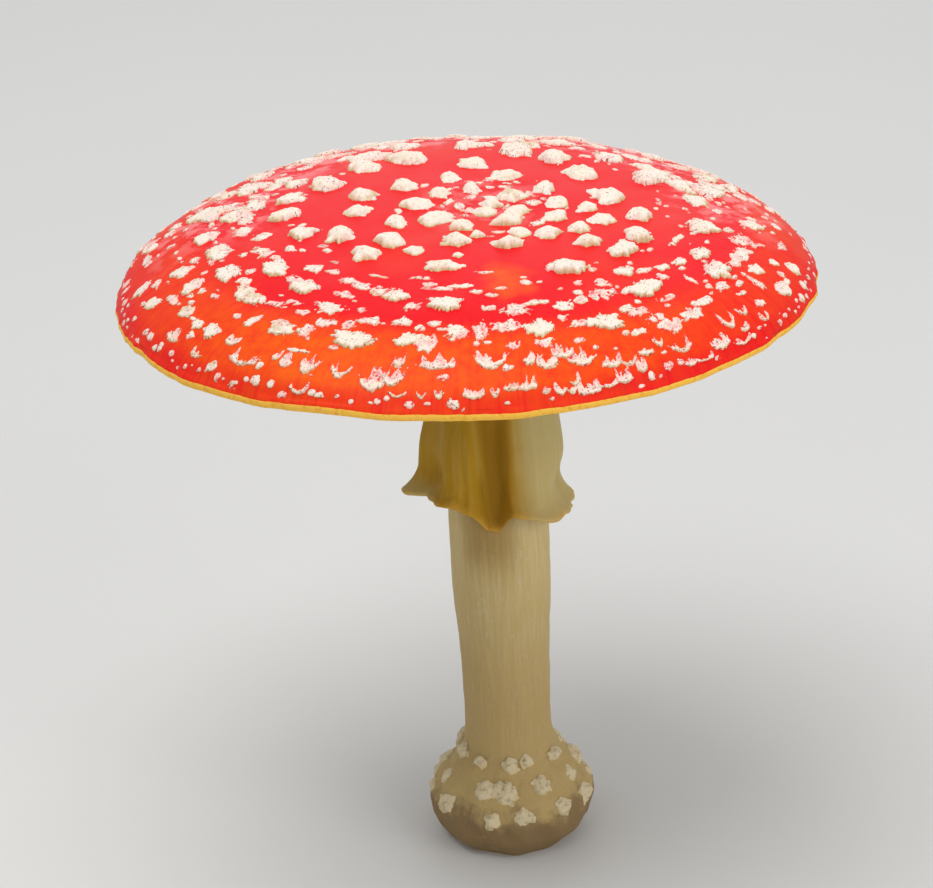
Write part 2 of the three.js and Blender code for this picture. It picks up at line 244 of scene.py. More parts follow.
# The camera stands this far from the middle of the rim, looks down by the pitch, is turned about
# its view by the roll, and is then moved to its left and down. Its focal length is in pixels of
# a picture of this width.
CAMERA_WAY = 0.650
CAMERA_PITCH = 23.88
CAMERA_ROLL = -2.93
CAMERA_SHIFT = (0.00417, 0.03314)
CAMERA_FOCUS = 3246.7
PICTURE_WIDTH = 933
SENSOR_WIDTH = 36


# --- Settings -----------------------------------------------------------------------------------


def length(name, description, default):
    """A size in metres."""
    return FloatProperty(name=name, description=description, default=default, unit="LENGTH")


def colour(name, description, default):
    """A colour in linear red, green and blue."""
    return FloatVectorProperty(
        name=name, description=description, default=default, subtype="COLOR", size=3, min=0, max=1
    )


class MushroomSizes(bpy.types.PropertyGroup):
    """The sizes of the mushroom, all in metres except the two slopes of the cap."""

    cap_radius: length("Cap radius", "Mean distance from the cap's middle to its rim", 0.070)
    cap_shift: length("Cap shift", "How far the rim lies off the stem's axis, along X", -0.0044)
    rim_height: length("Rim height", "Height of the rim over the foot", 0.126)
    dome_height: length("Dome height", "Height of the middle of the cap over the rim", 0.0158)
    slope_x: FloatProperty(
        name="Slope X", description="Extra height towards +X, as a share of it", default=-0.127
    )
    slope_y: FloatProperty(
        name="Slope Y", description="Extra height towards +Y, as a share of it", default=0.04
    )
    skin_relief: length("Skin relief", "Height of the low waves in the skin", 0.00022)
    wart_height: FloatProperty(
        name="Wart height", description="Height of a wart over its width", default=0.2, min=0
    )
    film_height: length("Film height", "Height of a thin torn film", 0.00017)
    gill_thickness: length("Gill thickness", "Thickness of a blade at its root", 0.00055)
    ring_top: length("Ring top", "Height at which the ring leaves the stem", 0.114)
    ring_edge: length("Ring edge", "Mean height of the ring's lower edge", 0.0778)
    ring_edge_slope: length("Ring edge slope", "How much lower the edge is towards +X", 0.0033)
    ring_wall: length("Ring wall", "Thickness of the ring near its edge", 0.0009)


class MushroomColours(bpy.types.PropertyGroup):
    """The colours of the mushroom."""

    red: colour("Red", "The skin in the middle of the cap", (0.84, 0.0075, 0.014))
    orange: colour("Orange", "The skin where it is thinner and paler", (0.93, 0.12, 0.004))
    deep_red: colour("Deep red", "The skin just above the rim", (0.62, 0.03, 0.005))
    # Haze: a pink tint, partly a thin film of veil and partly painted sheen.
    veil_haze_and_sheen: colour("Haze and sheen", "The thin film of veil on the skin", (1.0, 0.42, 0.42))
    margin: colour("Margin", "The bare band round the rim", (1.0, 0.56, 0.08))
    margin_dark: colour("Margin dark", "The hollows of the bare band", (0.70, 0.28, 0.02))
    wart: colour("Wart", "The warts and films of veil", (0.95, 0.84, 0.72))
    wart_cream: colour("Wart cream", "The yellower parts of the veil", (0.90, 0.78, 0.55))
    # Wart edge: partly the veil's own yellow-brown, partly painted shade on downhill edges and
    # walls.
    wart_edge_and_shade: colour("Wart edge and shade", "The lower edges of the warts", (0.66, 0.47, 0.19))
    wart_stain: colour("Wart stain", "The stains on a few warts", (0.62, 0.40, 0.12))
    wart_sheer: colour("Wart sheer", "The veil where it is thin", (1.0, 0.40, 0.38))
    crack: colour("Crack", "Cracks in thick veil", (0.42, 0.28, 0.17))
    crack_deep: colour("Crack deep", "Cracks in thin veil", (0.24, 0.01, 0.01))
    speck: colour("Speck", "Specks of soil on the warts", (0.10, 0.06, 0.03))
    gill: colour("Gill", "The gills", (0.86, 0.80, 0.64))
    gill_cream: colour("Gill cream", "The yellower parts of the gills", (0.88, 0.76, 0.50))
    # Gill deep: painted shade deep between the blades, at their roots.
    gill_root_shade: colour("Gill deep", "The roots of the gills", (0.62, 0.50, 0.28))
    stem: colour("Stem", "The stem", (0.56, 0.42, 0.175))
    stem_pale: colour("Stem pale", "The raised fibres of the stem", (0.70, 0.58, 0.36))
    stem_cloud: colour("Stem cloud", "The yellower parts of the stem", (0.66, 0.48, 0.20))
    stem_low: colour("Stem low", "The stem below its middle", (0.42, 0.28, 0.10))
    # Stem shadow: a painted shadow on the stem under the ring's front valley.
    stem_shadow: colour("Stem shadow", "The stain under the ring", (0.30, 0.17, 0.03))
    soil: colour("Soil", "Stains on the bulb and the cut foot", (0.17, 0.10, 0.045))
    ring: colour("Ring", "The ring", (0.50, 0.385, 0.155))
    # Ring ochre: partly the ring's ochre tone, partly painted shade on the side away from the light.
    ring_ochre_shaded: colour("Ring ochre", "The ring's yellow side", (0.42, 0.23, 0.010))
    # Ring dark: painted shade in the pleats' hollows, the front valley and the inside.
    ring_fold_shade: colour("Ring dark", "The ring's folds", (0.335, 0.165, 0.007))
    ring_line: colour("Ring line", "The upright lines of the ring", (0.82, 0.62, 0.33))
    ring_worn: colour("Ring worn", "The ring's worn edge", (0.62, 0.33, 0.06))
    floor: colour("Floor", "The floor", (0.72, 0.71, 0.69))


def sizes():
    """The sizes that are set in the panel."""
    return bpy.context.scene.mushroom_sizes


def colours():
    """The colours that are set in the panel."""
    return bpy.context.scene.mushroom_colours


# --- Shapes -------------------------------------------------------------------------------------


def ripples(points, wavelength, seed, waves=18):
    """Smooth noise of about -1 to 1: the scaled sum of plane waves of about one wavelength, each
    with a seeded direction, length and phase."""
    rng = np.random.default_rng(seed)
    directions = rng.normal(size=(waves, points.shape[-1]))
    directions /= np.linalg.norm(directions, axis=1, keepdims=True)
    numbers = TURN / (wavelength * rng.uniform(0.6, 1.5, waves))
    phases = rng.uniform(0, TURN, waves)
    total = np.zeros(points.shape[:-1])
    for direction, number, phase in zip(directions, numbers, phases, strict=True):
        total += np.sin(points @ direction * number + phase)
    return total * 0.8 / np.sqrt(waves)


def smooth_line(points, count):
    """A curve through the points, spaced evenly along its length: on each span, the cubic whose
    end slopes are those between the neighbouring points (Catmull and Rom)."""
    p = np.asarray(points, float)
    p = np.vstack([2 * p[0] - p[1], p, 2 * p[-1] - p[-2]])
    t = np.linspace(0, 1, 40, endpoint=False)[:, None]
    spans = [
        0.5
        * (
            2 * b
            + (c - a) * t
            + (2 * a - 5 * b + 4 * c - d) * t**2
            + (3 * b - a - 3 * c + d) * t**3
        )
        for a, b, c, d in zip(p[:-3], p[1:-2], p[2:-1], p[3:], strict=True)
    ]
    line = np.vstack([*spans, p[-2]])
    way = np.concatenate([[0], np.cumsum(np.linalg.norm(np.diff(line, axis=0), axis=1))])
    at = np.linspace(0, way[-1], count)
    return np.column_stack([np.interp(at, way, line[:, k]) for k in range(line.shape[1])])


def smoothstep(low, high, x):
    """0 below low, 1 above high, and 3t² - 2t³ between them."""
    t = np.clip((x - low) / (high - low), 0, 1)
    return t * t * (3 - 2 * t)


def cap_point(share, azimuth, height):
    """The cap's points. The reach is the share times the radius and the rim's waves, and its
    centre moves by the shift times the share squared. The height is scaled by the cap's slopes,
    and near one azimuth the rim is lifted a little."""
    s = sizes()
    waves = (size * np.cos(order * azimuth - np.radians(turn)) for order, size, turn in RIM_WAVES)
    reach = share * s.cap_radius * (1 + sum(waves))
    slope = 1 + share * (s.slope_x * np.cos(azimuth) + s.slope_y * np.sin(azimuth))
    at, rise, narrowness = RIM_LIFT
    near = np.exp(narrowness * (np.cos(azimuth - np.radians(at)) - 1))
    return np.stack(
        np.broadcast_arrays(
            reach * np.cos(azimuth) + s.cap_shift * share**2,
            reach * np.sin(azimuth),
            s.rim_height + height * slope + rise * MM * share**6 * near,
        ),
        axis=-1,
    )


def dome_height(share):
    """The dome's height times (1 - share^flatness)^rounding."""
    return sizes().dome_height * np.maximum(0, 1 - share**DOME_FLATNESS) ** DOME_ROUNDING


def dome_arc():
    """Shares from the middle to the rim, closest together at the rim, and how far along the dome's
    curve each one is."""
    share = 1 - (1 - np.linspace(0, 1, 1500)) ** 2.5
    run = np.hypot(np.diff(share) * sizes().cap_radius, np.diff(dome_height(share)))
    return share, np.concatenate([[0], np.cumsum(run)])


def on_dome(plan, lift):
    """Points of the dome with its low waves, raised along its normal. A plan point is the dome
    rolled flat: its distance from the middle is the way along the dome, and its angle is the
    azimuth."""
    shares, arc = dome_arc()

    def surface(flat):
        """The dome under a plan point, without its low waves."""
        share = np.interp(np.hypot(flat[..., 0], flat[..., 1]), arc, shares)
        return cap_point(share, np.arctan2(flat[..., 1], flat[..., 0]), dome_height(share))

    step = 2e-5
    point = surface(plan)
    normal = np.cross(surface(plan + [step, 0]) - point, surface(plan + [0, step]) - point)
    normal /= np.maximum(np.linalg.norm(normal, axis=-1, keepdims=True), 1e-20)
    inside = np.hypot(plan[..., 0], plan[..., 1]) / arc[-1]
    fade = 1 - smoothstep(0.94, 0.99, inside)
    waves = ripples(point, 0.026, 3) + 0.35 * ripples(point, 0.009, 4)
    raised = np.asarray(lift) + sizes().skin_relief * waves * fade
    return point + normal * raised[..., None]


def globe_faces(count, rings, columns):
    """Faces of many closed grids. Each has a pole, rings of columns, and a second pole."""
    stride = rings * columns + 2
    start = (np.arange(count) * stride)[:, None, None]
    ring = (np.arange(rings - 1) * columns)[None, :, None]
    a = np.arange(columns)
    b = (a + 1) % columns
    near, far = start + 1 + ring, start + 1 + ring + columns
    quads = np.stack([near + a, far + a, far + b, near + b], axis=-1).reshape(-1, 4)
    first = start[:, 0]
    last = first + 1 + (rings - 1) * columns
    top = np.stack(np.broadcast_arrays(first, first + 1 + a, first + 1 + b), axis=-1)
    foot = np.stack(np.broadcast_arrays(last + b, last + a, first + stride - 1), axis=-1)
    return quads, np.concatenate([top.reshape(-1, 3), foot.reshape(-1, 3)])


def loop_faces(rings, columns):
    """Faces of one grid that closes on itself both ways."""
    i = np.arange(rings)[:, None] * columns
    k = (np.arange(rings)[:, None] + 1) % rings * columns
    a = np.arange(columns)
    b = (a + 1) % columns
    return np.stack([i + a, k + a, k + b, i + b], axis=-1).reshape(-1, 4), np.zeros((0, 3), int)


def globe_points(top, grid, foot):
    """Vertices in globe_faces' order, from the first poles, the rings and the second poles."""
    count = len(grid)
    flat = grid.reshape(count, -1, grid.shape[-1])
    return np.concatenate([top[:, None], flat, foot[:, None]], axis=1).reshape(-1, grid.shape[-1])


def ring_values(top, rings, columns, foot):
    """One number for each ring, given at each vertex in globe_faces' order."""
    return np.concatenate([[top], np.repeat(rings, columns), [foot]])


def add_piece(name, points, faces, values, material, node):
    """A mesh of the points and faces, turned to face outwards, with one number a vertex for each of
    the named values. It rides on the frame in place of the node."""
    quads, triangles = faces
    thirds = np.concatenate([quads[:, :3], quads[:, [0, 2, 3]], triangles])
    a, b, c = (points[thirds[:, k]] for k in range(3))
    volume = np.einsum("ij,ij->", np.cross(a, b), c)
    if volume < 0:
        quads, triangles = quads[:, ::-1], triangles[:, ::-1]
    mesh = bpy.data.meshes.new(name)
    mesh.vertices.add(len(points))
    mesh.vertices.foreach_set("co", points.astype(np.float32).ravel())
    corners = np.concatenate([quads.ravel(), triangles.ravel()]).astype(np.int32)
    mesh.loops.add(len(corners))
    mesh.loops.foreach_set("vertex_index", corners)
    starts = np.concatenate(
        [np.arange(len(quads)) * 4, 4 * len(quads) + np.arange(len(triangles)) * 3]
    )
    mesh.polygons.add(len(starts))
    mesh.polygons.foreach_set("loop_start", starts.astype(np.int32))
    for key, value in values.items():
        attribute = mesh.attributes.new(key, "FLOAT", "POINT")
        attribute.data.foreach_set("value", np.asarray(value, np.float32).ravel())
    mesh.update(calc_edges=True)
    if mesh.validate():
        raise RuntimeError(f"{name} has faces that Blender can't use")
    mesh.shade_smooth()
    mesh.materials.append(material)
    piece = bpy.data.objects.new(name, mesh)
    bpy.context.scene.collection.objects.link(piece)
    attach(piece, "root")
    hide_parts(node)
    return piece


# --- Patches of torn veil -----------------------------------------------------------------------


class Sheet:
    """A fine grid over each of the places, in metres: x across the slope and y up it. A shape is
    drawn on it as a field that is over 0 inside the patch, and the rest of the grid is cut off.
    The wall is a field that is 0 all round the grid, so that every patch is closed."""

    def __init__(self, places, pitch, reach, seed):
        self.rng = np.random.default_rng(seed)
        self.seed = seed * 100
        self.count = len(places)
        flats, owners, triangles, start = [], [], [], 0
        for index, size in enumerate(places[:, 2:4]):
            columns, rows = np.ceil(reach * size / pitch).astype(int) + 1
            x, y = np.meshgrid(np.arange(columns), np.arange(rows))
            middle = ((columns - 1) / 2, (rows - 1) / 2)
            flats.append((np.column_stack([x.ravel(), y.ravel()]) - middle) * pitch * MM)
            owners.append(np.full(columns * rows, index))
            a = (start + np.arange(rows - 1)[:, None] * columns + np.arange(columns - 1)).ravel()
            b, c, d = a + 1, a + columns + 1, a + columns
            triangles += [np.column_stack([a, b, c]), np.column_stack([a, c, d])]
            start += columns * rows
        self.x, self.y = np.vstack(flats).T
        self.owner = np.concatenate(owners)
        self.triangles = np.vstack(triangles)
        self.across, self.along = (0.5 * MM * places[self.owner, k] for k in (2, 3))
        self.size = np.sqrt(self.across * self.along)
        self.share = places[self.owner, 1]
        self.wall = reach - np.maximum(np.abs(self.x / self.across), np.abs(self.y / self.along))

    def draw(self, low, high):
        """A seeded number for each place, given at each of its points."""
        return self.rng.uniform(low, high, self.count)[self.owner]

    def noise(self, wavelength, stretch=1.0):
        """Smooth noise of a wavelength in mm, drawn out up the slope, unlike in each place."""
        self.seed += 1
        body = np.column_stack([self.x, self.y / stretch, self.owner * 0.011])
        return ripples(body, wavelength * MM, self.seed)


def teeth(s, angle, wavelength, tall):
    """Small sharp teeth round a patch. They stand where seeded noise passes through 0."""
    s.seed += 1
    ring = np.column_stack([np.cos(angle), np.sin(angle)]) * s.size[:, None]
    near = np.abs(ripples(np.column_stack([ring, s.owner * 0.011]), wavelength * MM, s.seed))
    return tall * np.clip(1 - 3.2 * near, 0, 1)


def lump_shape(s):
    """A lump reaches out as a six-sided polygon with teeth, two drawn-out corners and a bite on
    its uphill side. Near the middle of the cap its top is a low pyramid, and further out a plate
    that is nearly flat, and thin uphill."""
    u = s.x / s.across + 0.1 * s.noise(2.4)
    v = s.y / s.along + 0.1 * s.noise(2.4)
    angle, away = np.arctan2(v, u), np.hypot(u, v)
    reach = np.full(len(u), 9.0)
    flat = smoothstep(0.4, 0.68, s.share)
    wide = 1.22 - 0.12 * flat
    for side in range(6):
        facing = (side + s.draw(-0.3, 0.3)) / 6 * TURN
        side_way = s.draw(0.58, 0.86) * wide
        reach = np.minimum(reach, side_way / np.maximum(np.cos(angle - facing), 0.2))
    for _ in range(2):
        gap = np.abs((angle - s.draw(0, TURN) + np.pi) % TURN - np.pi)
        reach = reach + s.draw(-0.2, 0.45) * np.clip(1 - gap / 0.55, 0, 1) ** 1.4
    bite = s.draw(-0.3, 0.6) * flat * np.exp(-(((angle - s.draw(1.0, 2.1)) / 0.6) ** 2))
    reach = reach - np.maximum(bite, 0)
    rough = 0.08 * s.noise(1.3) + (0.02 + 0.04 * flat) * s.noise(0.6)
    field = reach + teeth(s, angle, 1.0, 0.06 + 0.12 * flat) + rough - away
    slope = np.full(len(u), -9.0)
    for side in range(5):
        facing = (side + s.draw(-0.3, 0.3)) / 5 * TURN
        slope = np.maximum(slope, (u - s.draw(-0.25, 0.25)) * np.cos(facing) + v * np.sin(facing))
    tall = sizes().wart_height * (1.9 - 1.35 * flat)
    tall = np.minimum(s.draw(0.7, 1.3) * tall * 2 * s.size, 2.5 * MM)
    pyramid = np.clip(1.0 - (0.8 - 0.5 * flat) * slope, 0.25, 1.0)
    pyramid = pyramid * (0.85 + 0.2 * smoothstep(0.4, -0.8, v))
    edge = 0.3 + 0.7 * smoothstep(0, (0.7 - 0.35 * flat) * MM, field * s.size) ** 0.8
    crumbs = 0.08 * np.abs(s.noise(1.7)) + 0.05 * np.abs(s.noise(0.8)) - 0.05
    thin = flat * s.draw(0.1, 0.9) * (smoothstep(-0.2, 0.9, v) + 0.25 * s.noise(2.2))
    height = np.maximum(tall * pyramid * edge + crumbs * MM, 0.15 * MM)
    return field, height, np.clip(thin, 0, 0.6)


def film_shape(s):
    """A film is a low bent oval with teeth. Noise cuts into it until it is torn and has holes, and
    it is thinnest along its edge and where it has most holes."""
    u = s.x / s.across
    v = s.y / s.along - s.draw(-0.5, 0.5) * (u**2 - 0.3)
    torn = 0.28 * s.noise(2.4) + 0.13 * s.noise(1.2) + 0.05 * s.noise(0.55)
    field = 0.85 - np.hypot(u, v) + torn + teeth(s, np.arctan2(v, u), 1.3, 0.22)
    lace = s.draw(-0.6, 1.0)
    field = field - smoothstep(0.95, 1.35, s.noise(1.5) + 0.4 * lace)
    edge = 0.5 + 0.5 * smoothstep(0, 0.2 * MM, field * s.size)
    height = sizes().film_height * edge * (1 + 0.2 * s.noise(0.9))
    thin = 0.3 + 0.4 * lace + 0.5 * s.noise(2.6) + 0.5 * smoothstep(0.4 * MM, 0, field * s.size)
    return field, np.maximum(height, 0.06 * MM), np.clip(thin, 0.05, 1)


def crown_shape(s):
    """A crown is a bent lip with a torn web above it that ends in sharp points, which fan out
    uphill. The points stand where seeded noise passes through 0, and long gaps split the web."""
    u, v = s.x / s.across, s.y / s.along
    rising = v + 0.7 - s.draw(0.1, 0.9) * u**2 - 0.1 * s.noise(1.5)
    fan = u / (1 + 0.35 * np.clip(rising, 0, 2))
    shape = np.maximum(1 - fan**4, 0)
    body = np.column_stack([fan * s.across, 0 * u, s.owner * 0.011])
    first, second = (np.abs(ripples(body, size * MM, s.seed + 50)) for size in (4.2, 1.9))
    tall = s.draw(0.8, 1.7) * np.clip(1 - 1.25 * first, 0, 1)
    tall = tall + 0.5 * np.clip(1 - 1.7 * second, 0, 1)
    tall = shape * (s.draw(-0.25, 0.35) + tall) + 0.12 * s.noise(0.8, 2)
    lip = s.draw(0.16, 0.34) * np.sqrt(np.maximum(1 - u**2, 0)) - np.abs(rising)
    lip = lip + 0.06 * s.noise(0.8)
    web = np.minimum((tall - rising) * 0.7, rising + 0.2) + 0.07 * s.noise(0.6, 2.5)
    gaps = smoothstep(0.1, 0.8, s.noise(0.8, 5)) * smoothstep(0.1, 0.5, rising)
    web = web - s.draw(0.1, 0.6) * gaps
    field = np.maximum(lip, np.where(shape > 0, web, -1))
    solid = smoothstep(-0.1, 0.2, lip)
    height = sizes().film_height + solid * (0.05 * s.size + 0.08 * MM)
    edge = 0.5 + 0.5 * smoothstep(0, 0.2 * MM, field * s.size)
    thin = 0.12 + (1 - solid) * (0.5 + 0.7 * smoothstep(-0.4, 0.5, v)) * s.draw(0.6, 1.2)
    return field, np.maximum(height * edge, 0.06 * MM), np.clip(thin + 0.2 * s.noise(1.4), 0, 1)


def cut_sheet(field, triangles, values):
    """Cuts triangles along the line where the field is 0, and keeps the side where it is over 0.
    Returns each vertex's values, the triangles, and the cut's edges, with the kept side on their
    left."""
    inside = field[triangles] > 0
    count = inside.sum(axis=1)

    def rolled(kind, odd):
        """The corners of triangles, from the odd one onwards."""
        first = np.argmax(odd[count == kind], axis=1)[:, None]
        return np.take_along_axis(triangles[count == kind], (first + np.arange(3)) % 3, axis=1)

    one, two = rolled(1, inside), rolled(2, ~inside)
    pairs = np.concatenate([one[:, :2], one[:, ::2], two[:, :2], two[:, ::2]])
    ends, number = np.unique(np.sort(pairs, axis=1), axis=0, return_inverse=True)
    at = (field[ends[:, 0]] / (field[ends[:, 0]] - field[ends[:, 1]]))[:, None]
    crossings = values[ends[:, 0]] + (values[ends[:, 1]] - values[ends[:, 0]]) * at
    number = number.ravel() + len(field)
    splits = np.cumsum([len(one), len(one), len(two)])
    one_b, one_c, two_b, two_c = np.split(number, splits)
    kept = np.concatenate(
        [
            triangles[count == 3],
            np.column_stack([one[:, 0], one_b, one_c]),
            np.column_stack([two_b, two[:, 1], two[:, 2]]),
            np.column_stack([two_b, two[:, 2], two_c]),
        ]
    )
    edges = np.concatenate([np.column_stack([one_b, one_c]), np.column_stack([two_c, two_b])])
    used, kept = np.unique(kept, return_inverse=True)
    edges = np.searchsorted(used, edges)
    return np.concatenate([values, crossings])[used], kept.reshape(-1, 3), edges


# The patches' shapes: what draws them, the pitch of the grid in mm, and how far the grid reaches
# against half the patch's size.
SHAPES = {
    "lump": (lump_shape, 0.2, 1.7),
    "film": (film_shape, 0.165, 1.5),
    "speck": (film_shape, 0.26, 1.5),
    "crown": (crown_shape, 0.13, 1.2),
}


def patches(places, kind, seed):
    """Patches of torn veil in their own plane. Returns the vertices' x, y and z, their places'
    indices, how thin and how far down the patch they are, and the faces. The edge of a patch
    turns down into what it lies on."""
    shape, pitch, reach = SHAPES[kind]
    s = Sheet(places, pitch, reach, seed)
    field, height, thin = shape(s)
    field = np.minimum(field, s.wall)
    # low: downhill edge and walls' feet, tinted yellow-brown; partly veil colour, partly painted
    # shade.
    low = smoothstep(0.6 * MM, 0, field * s.size) * smoothstep(0.2, -0.6, s.y / s.along)
    values = np.column_stack([s.x, s.y, height, s.owner, thin, low])
    values, triangles, edges = cut_sheet(field, s.triangles, values)
    rim, lowered = np.unique(edges, return_inverse=True)
    foot = values[rim] * (1, 1, 0, 1, 1, 0) + (0, 0, -PATCH_SUNK, 0, 0, 1)
    lowered = lowered.reshape(-1, 2) + len(values)
    walls = np.column_stack([edges[:, ::-1], lowered])
    return np.concatenate([values, foot]), (walls, triangles)


def place_on_cap(values, places):
    """Lays patches on the dome. A point's plan is its patch's own, turned to the patch's azimuth
    and set as far along the dome as its share is."""
    shares, arc = dome_arc()
    x, y, z = values[:, :3].T
    mine = places[values[:, 3].astype(int)]
    azimuth, way = np.radians(mine[:, 0]), np.interp(mine[:, 1], shares, arc)
    x = x * np.maximum(way / np.maximum(mine[:, 1] * sizes().cap_radius, 1e-6), 1)
    out = np.stack([np.cos(azimuth), np.sin(azimuth)], axis=-1)
    side = np.stack([-out[:, 1], out[:, 0]], axis=-1)
    return on_dome((way - y)[:, None] * out + x[:, None] * side, z)


def far_places(rows, seed):
    """The patches of the far side: rows at one share each, spaced evenly with a seeded offset."""
    rng = np.random.default_rng(seed)
    found = []
    for share, width, count in rows:
        at = (np.arange(count) + rng.uniform(0.15, 0.85, count)) / count
        azimuth = FAR_SIDE[0] + at * (FAR_SIDE[1] - FAR_SIDE[0])
        shares = share + rng.uniform(-0.02, 0.02, count)
        across = width * rng.uniform(0.7, 1.25, count)
        along = across * rng.uniform(0.6, 1.0, count)
        found.append(np.column_stack([azimuth, shares, across, along]))
    return np.vstack(found)


def specks():
    """Small specks between the larger patches and along the rim, most of them near the rim."""
    rng = np.random.default_rng(5)
    azimuth = rng.uniform(0, 360, SPECK_COUNT)
    share = np.where(
        rng.uniform(size=SPECK_COUNT) < SPECKS_AT_RIM,
        rng.uniform(0.974, 0.996, SPECK_COUNT),
        rng.uniform(0.5, 0.96, SPECK_COUNT),
    )
    width = rng.uniform(0.9, 2.4, SPECK_COUNT)
    return np.column_stack([azimuth, share, width, width * rng.uniform(0.5, 1.2, SPECK_COUNT)])


def wisps():
    """Small torn pieces scattered over their areas."""
    rng = np.random.default_rng(6)
    tried = []
    for first, last, near, far, count in WISP_AREAS:
        azimuth, share = rng.uniform(first, last, count), rng.uniform(near, far, count)
        across = rng.uniform(1.6, 4.2, count)
        along = across * rng.uniform(0.35, 0.9, count)
        tried.append(np.column_stack([azimuth, share, across, along]))
    return np.vstack(tried)


def those_clear(tried, taken):
    """The places tried that are clear of the patches that are taken, and of each other. Two are
    clear when they are further apart than 0.42 of both their mean sizes and 0.25 mm."""
    radius = sizes().cap_radius / MM
    kept = taken
    for place in tried:
        turn, way = np.radians(kept[:, 0] - place[0]), radius * kept[:, 1]
        gap = np.hypot(way * np.sin(turn), way * np.cos(turn) - radius * place[1])
        if np.all(gap > 0.42 * (kept[:, 2:].mean(axis=1) + place[2:].mean()) + 0.25):
            kept = np.vstack([kept, place])
    return kept[len(taken) :]


def add_patches(name, places, kind, seed, material):
    """One piece of all the patches at the places. Its vertices know where they lie on their own
    patch, how thin and how far down it they are, and the patch's share."""
    values, faces = patches(places, kind, seed)
    points = place_on_cap(values, places)
    attributes = {
        "across": values[:, 0] / MM + 20 * values[:, 3],
        "along": values[:, 1] / MM,
        "thin": values[:, 4],
        "low": values[:, 5],
        "share": places[values[:, 3].astype(int), 1],
    }
    return add_piece(name, points, faces, attributes, material, "cap")


# --- Materials ----------------------------------------------------------------------------------


class Tree:
    """Adds nodes to a node tree. A value that is a socket is linked, and any other is set."""

    def __init__(self, tree):
        self.tree = tree

    def add(self, kind, settings=None, **inputs):
        """A node with its settings and its inputs, each by name."""
        node = self.tree.nodes.new(kind)
        for key, value in (settings or {}).items():
            setattr(node, key, value)
        for key, value in inputs.items():
            self.put(node.inputs[key.replace("_", " ")], value)
        return node

    def put(self, socket, value):
        """Links a socket to the value, or sets it. A colour is given its alpha."""
        if isinstance(value, bpy.types.NodeSocket):
            self.tree.links.new(value, socket)
        else:
            socket.default_value = (*value, 1.0) if socket.type == "RGBA" else value

    def fill(self, node, values):
        """Puts the values in the node's first inputs, and returns its first output."""
        for socket, value in zip(node.inputs, values, strict=False):
            self.put(socket, value)
        return node.outputs[0]

    def math(self, operation, *values):
        """The result of a math node's operation on the values."""
        return self.fill(self.add("ShaderNodeMath", {"operation": operation}), values)

    def vector(self, operation, *values):
        """The same for a vector math node."""
        return self.fill(self.add("ShaderNodeVectorMath", {"operation": operation}), values)

    def plus(self, a, b):
        """a + b."""
        return self.math("ADD", a, b)

    def minus(self, a, b):
        """a - b."""
        return self.math("SUBTRACT", a, b)

    def times(self, a, b):
        """a times b."""
        return self.math("MULTIPLY", a, b)

    def band(self, value, low, high):
        """0 to 1 as the value goes from low to high, smoothly."""
        node = self.add("ShaderNodeMapRange", {"interpolation_type": "SMOOTHSTEP"}, Value=value)
        node.inputs["From Min"].default_value = low
        node.inputs["From Max"].default_value = high
        return node.outputs["Result"]

    def mix(self, factor, a, b):
        """The colour a, turning to b as the factor goes from 0 to 1."""
        node = self.add("ShaderNodeMix", {"data_type": "RGBA"})
        for name, value in (("Factor", factor), ("A", a), ("B", b)):
            sockets = [s for s in node.inputs if s.name == name and s.enabled]
            self.put(sockets[0], value)
        return next(s for s in node.outputs if s.enabled)

    def tinted(self, under, mask, strength, colour):
        """The colour under it with another over it where the mask is 1, at that strength."""
        return self.mix(self.times(mask, strength), under, colour)

    def noise(self, vector, scale, detail=3.0, roughness=0.5):
        """Noise whose features are 1 / scale of the vector's unit across."""
        node = self.add(
            "ShaderNodeTexNoise", Vector=vector, Scale=scale, Detail=detail, Roughness=roughness
        )
        return node.outputs["Fac"]

    def attribute(self, name):
        """The number of that name that each vertex of the piece holds."""
        return self.add("ShaderNodeAttribute", {"attribute_name": name}).outputs["Fac"]

    def place(self, scale=(1, 1, 1)):
        """The place on the object in metres, scaled."""
        return self.scaled(self.add("ShaderNodeTexCoord").outputs["Object"], scale)

    def scaled(self, vector, scale):
        """The vector times the scale, axis by axis."""
        node = self.add("ShaderNodeMapping", Vector=vector)
        node.inputs["Scale"].default_value = scale
        return node.outputs["Vector"]

    def bump(self, height, distance, strength, normal=None):
        """A normal tilted by a height, over another normal if there is one."""
        node = self.add("ShaderNodeBump", Height=height, Distance=distance, Strength=strength)
        if normal is not None:
            self.put(node.inputs["Normal"], normal)
        return node.outputs["Normal"]

    def use(self, tree_group, **inputs):
        """The outputs of a node group, with its inputs by name."""
        node = self.add("ShaderNodeGroup", {"node_tree": tree_group})
        for key, value in inputs.items():
            self.put(node.inputs[key], value)
        return node.outputs


def material(name, build, **constants):
    """A Principled material. build(tree) returns what is linked to it, by socket name."""
    made = bpy.data.materials.new(name)
    made.use_nodes = True
    tree = Tree(made.node_tree)
    shader = made.node_tree.nodes["Principled BSDF"]
    for key, value in constants.items():
        shader.inputs[key.replace("_", " ")].default_value = value
    for key, value in build(tree).items():
        tree.put(shader.inputs[key], value)
    return made


def group(name, inputs, outputs, build):
    """A shader node group, made once. build(tree, inputs) returns its outputs by name."""
    if name in bpy.data.node_groups:
        return bpy.data.node_groups[name]
    made = bpy.data.node_groups.new(name, "ShaderNodeTree")
    for key, kind in inputs:
        made.interface.new_socket(key, in_out="INPUT", socket_type=kind)
    for key, kind in outputs:
        made.interface.new_socket(key, in_out="OUTPUT", socket_type=kind)
    tree = Tree(made)
    source, sink = tree.add("NodeGroupInput"), tree.add("NodeGroupOutput")
    for key, value in build(tree, source.outputs).items():
        tree.put(sink.inputs[key], value)
    return made


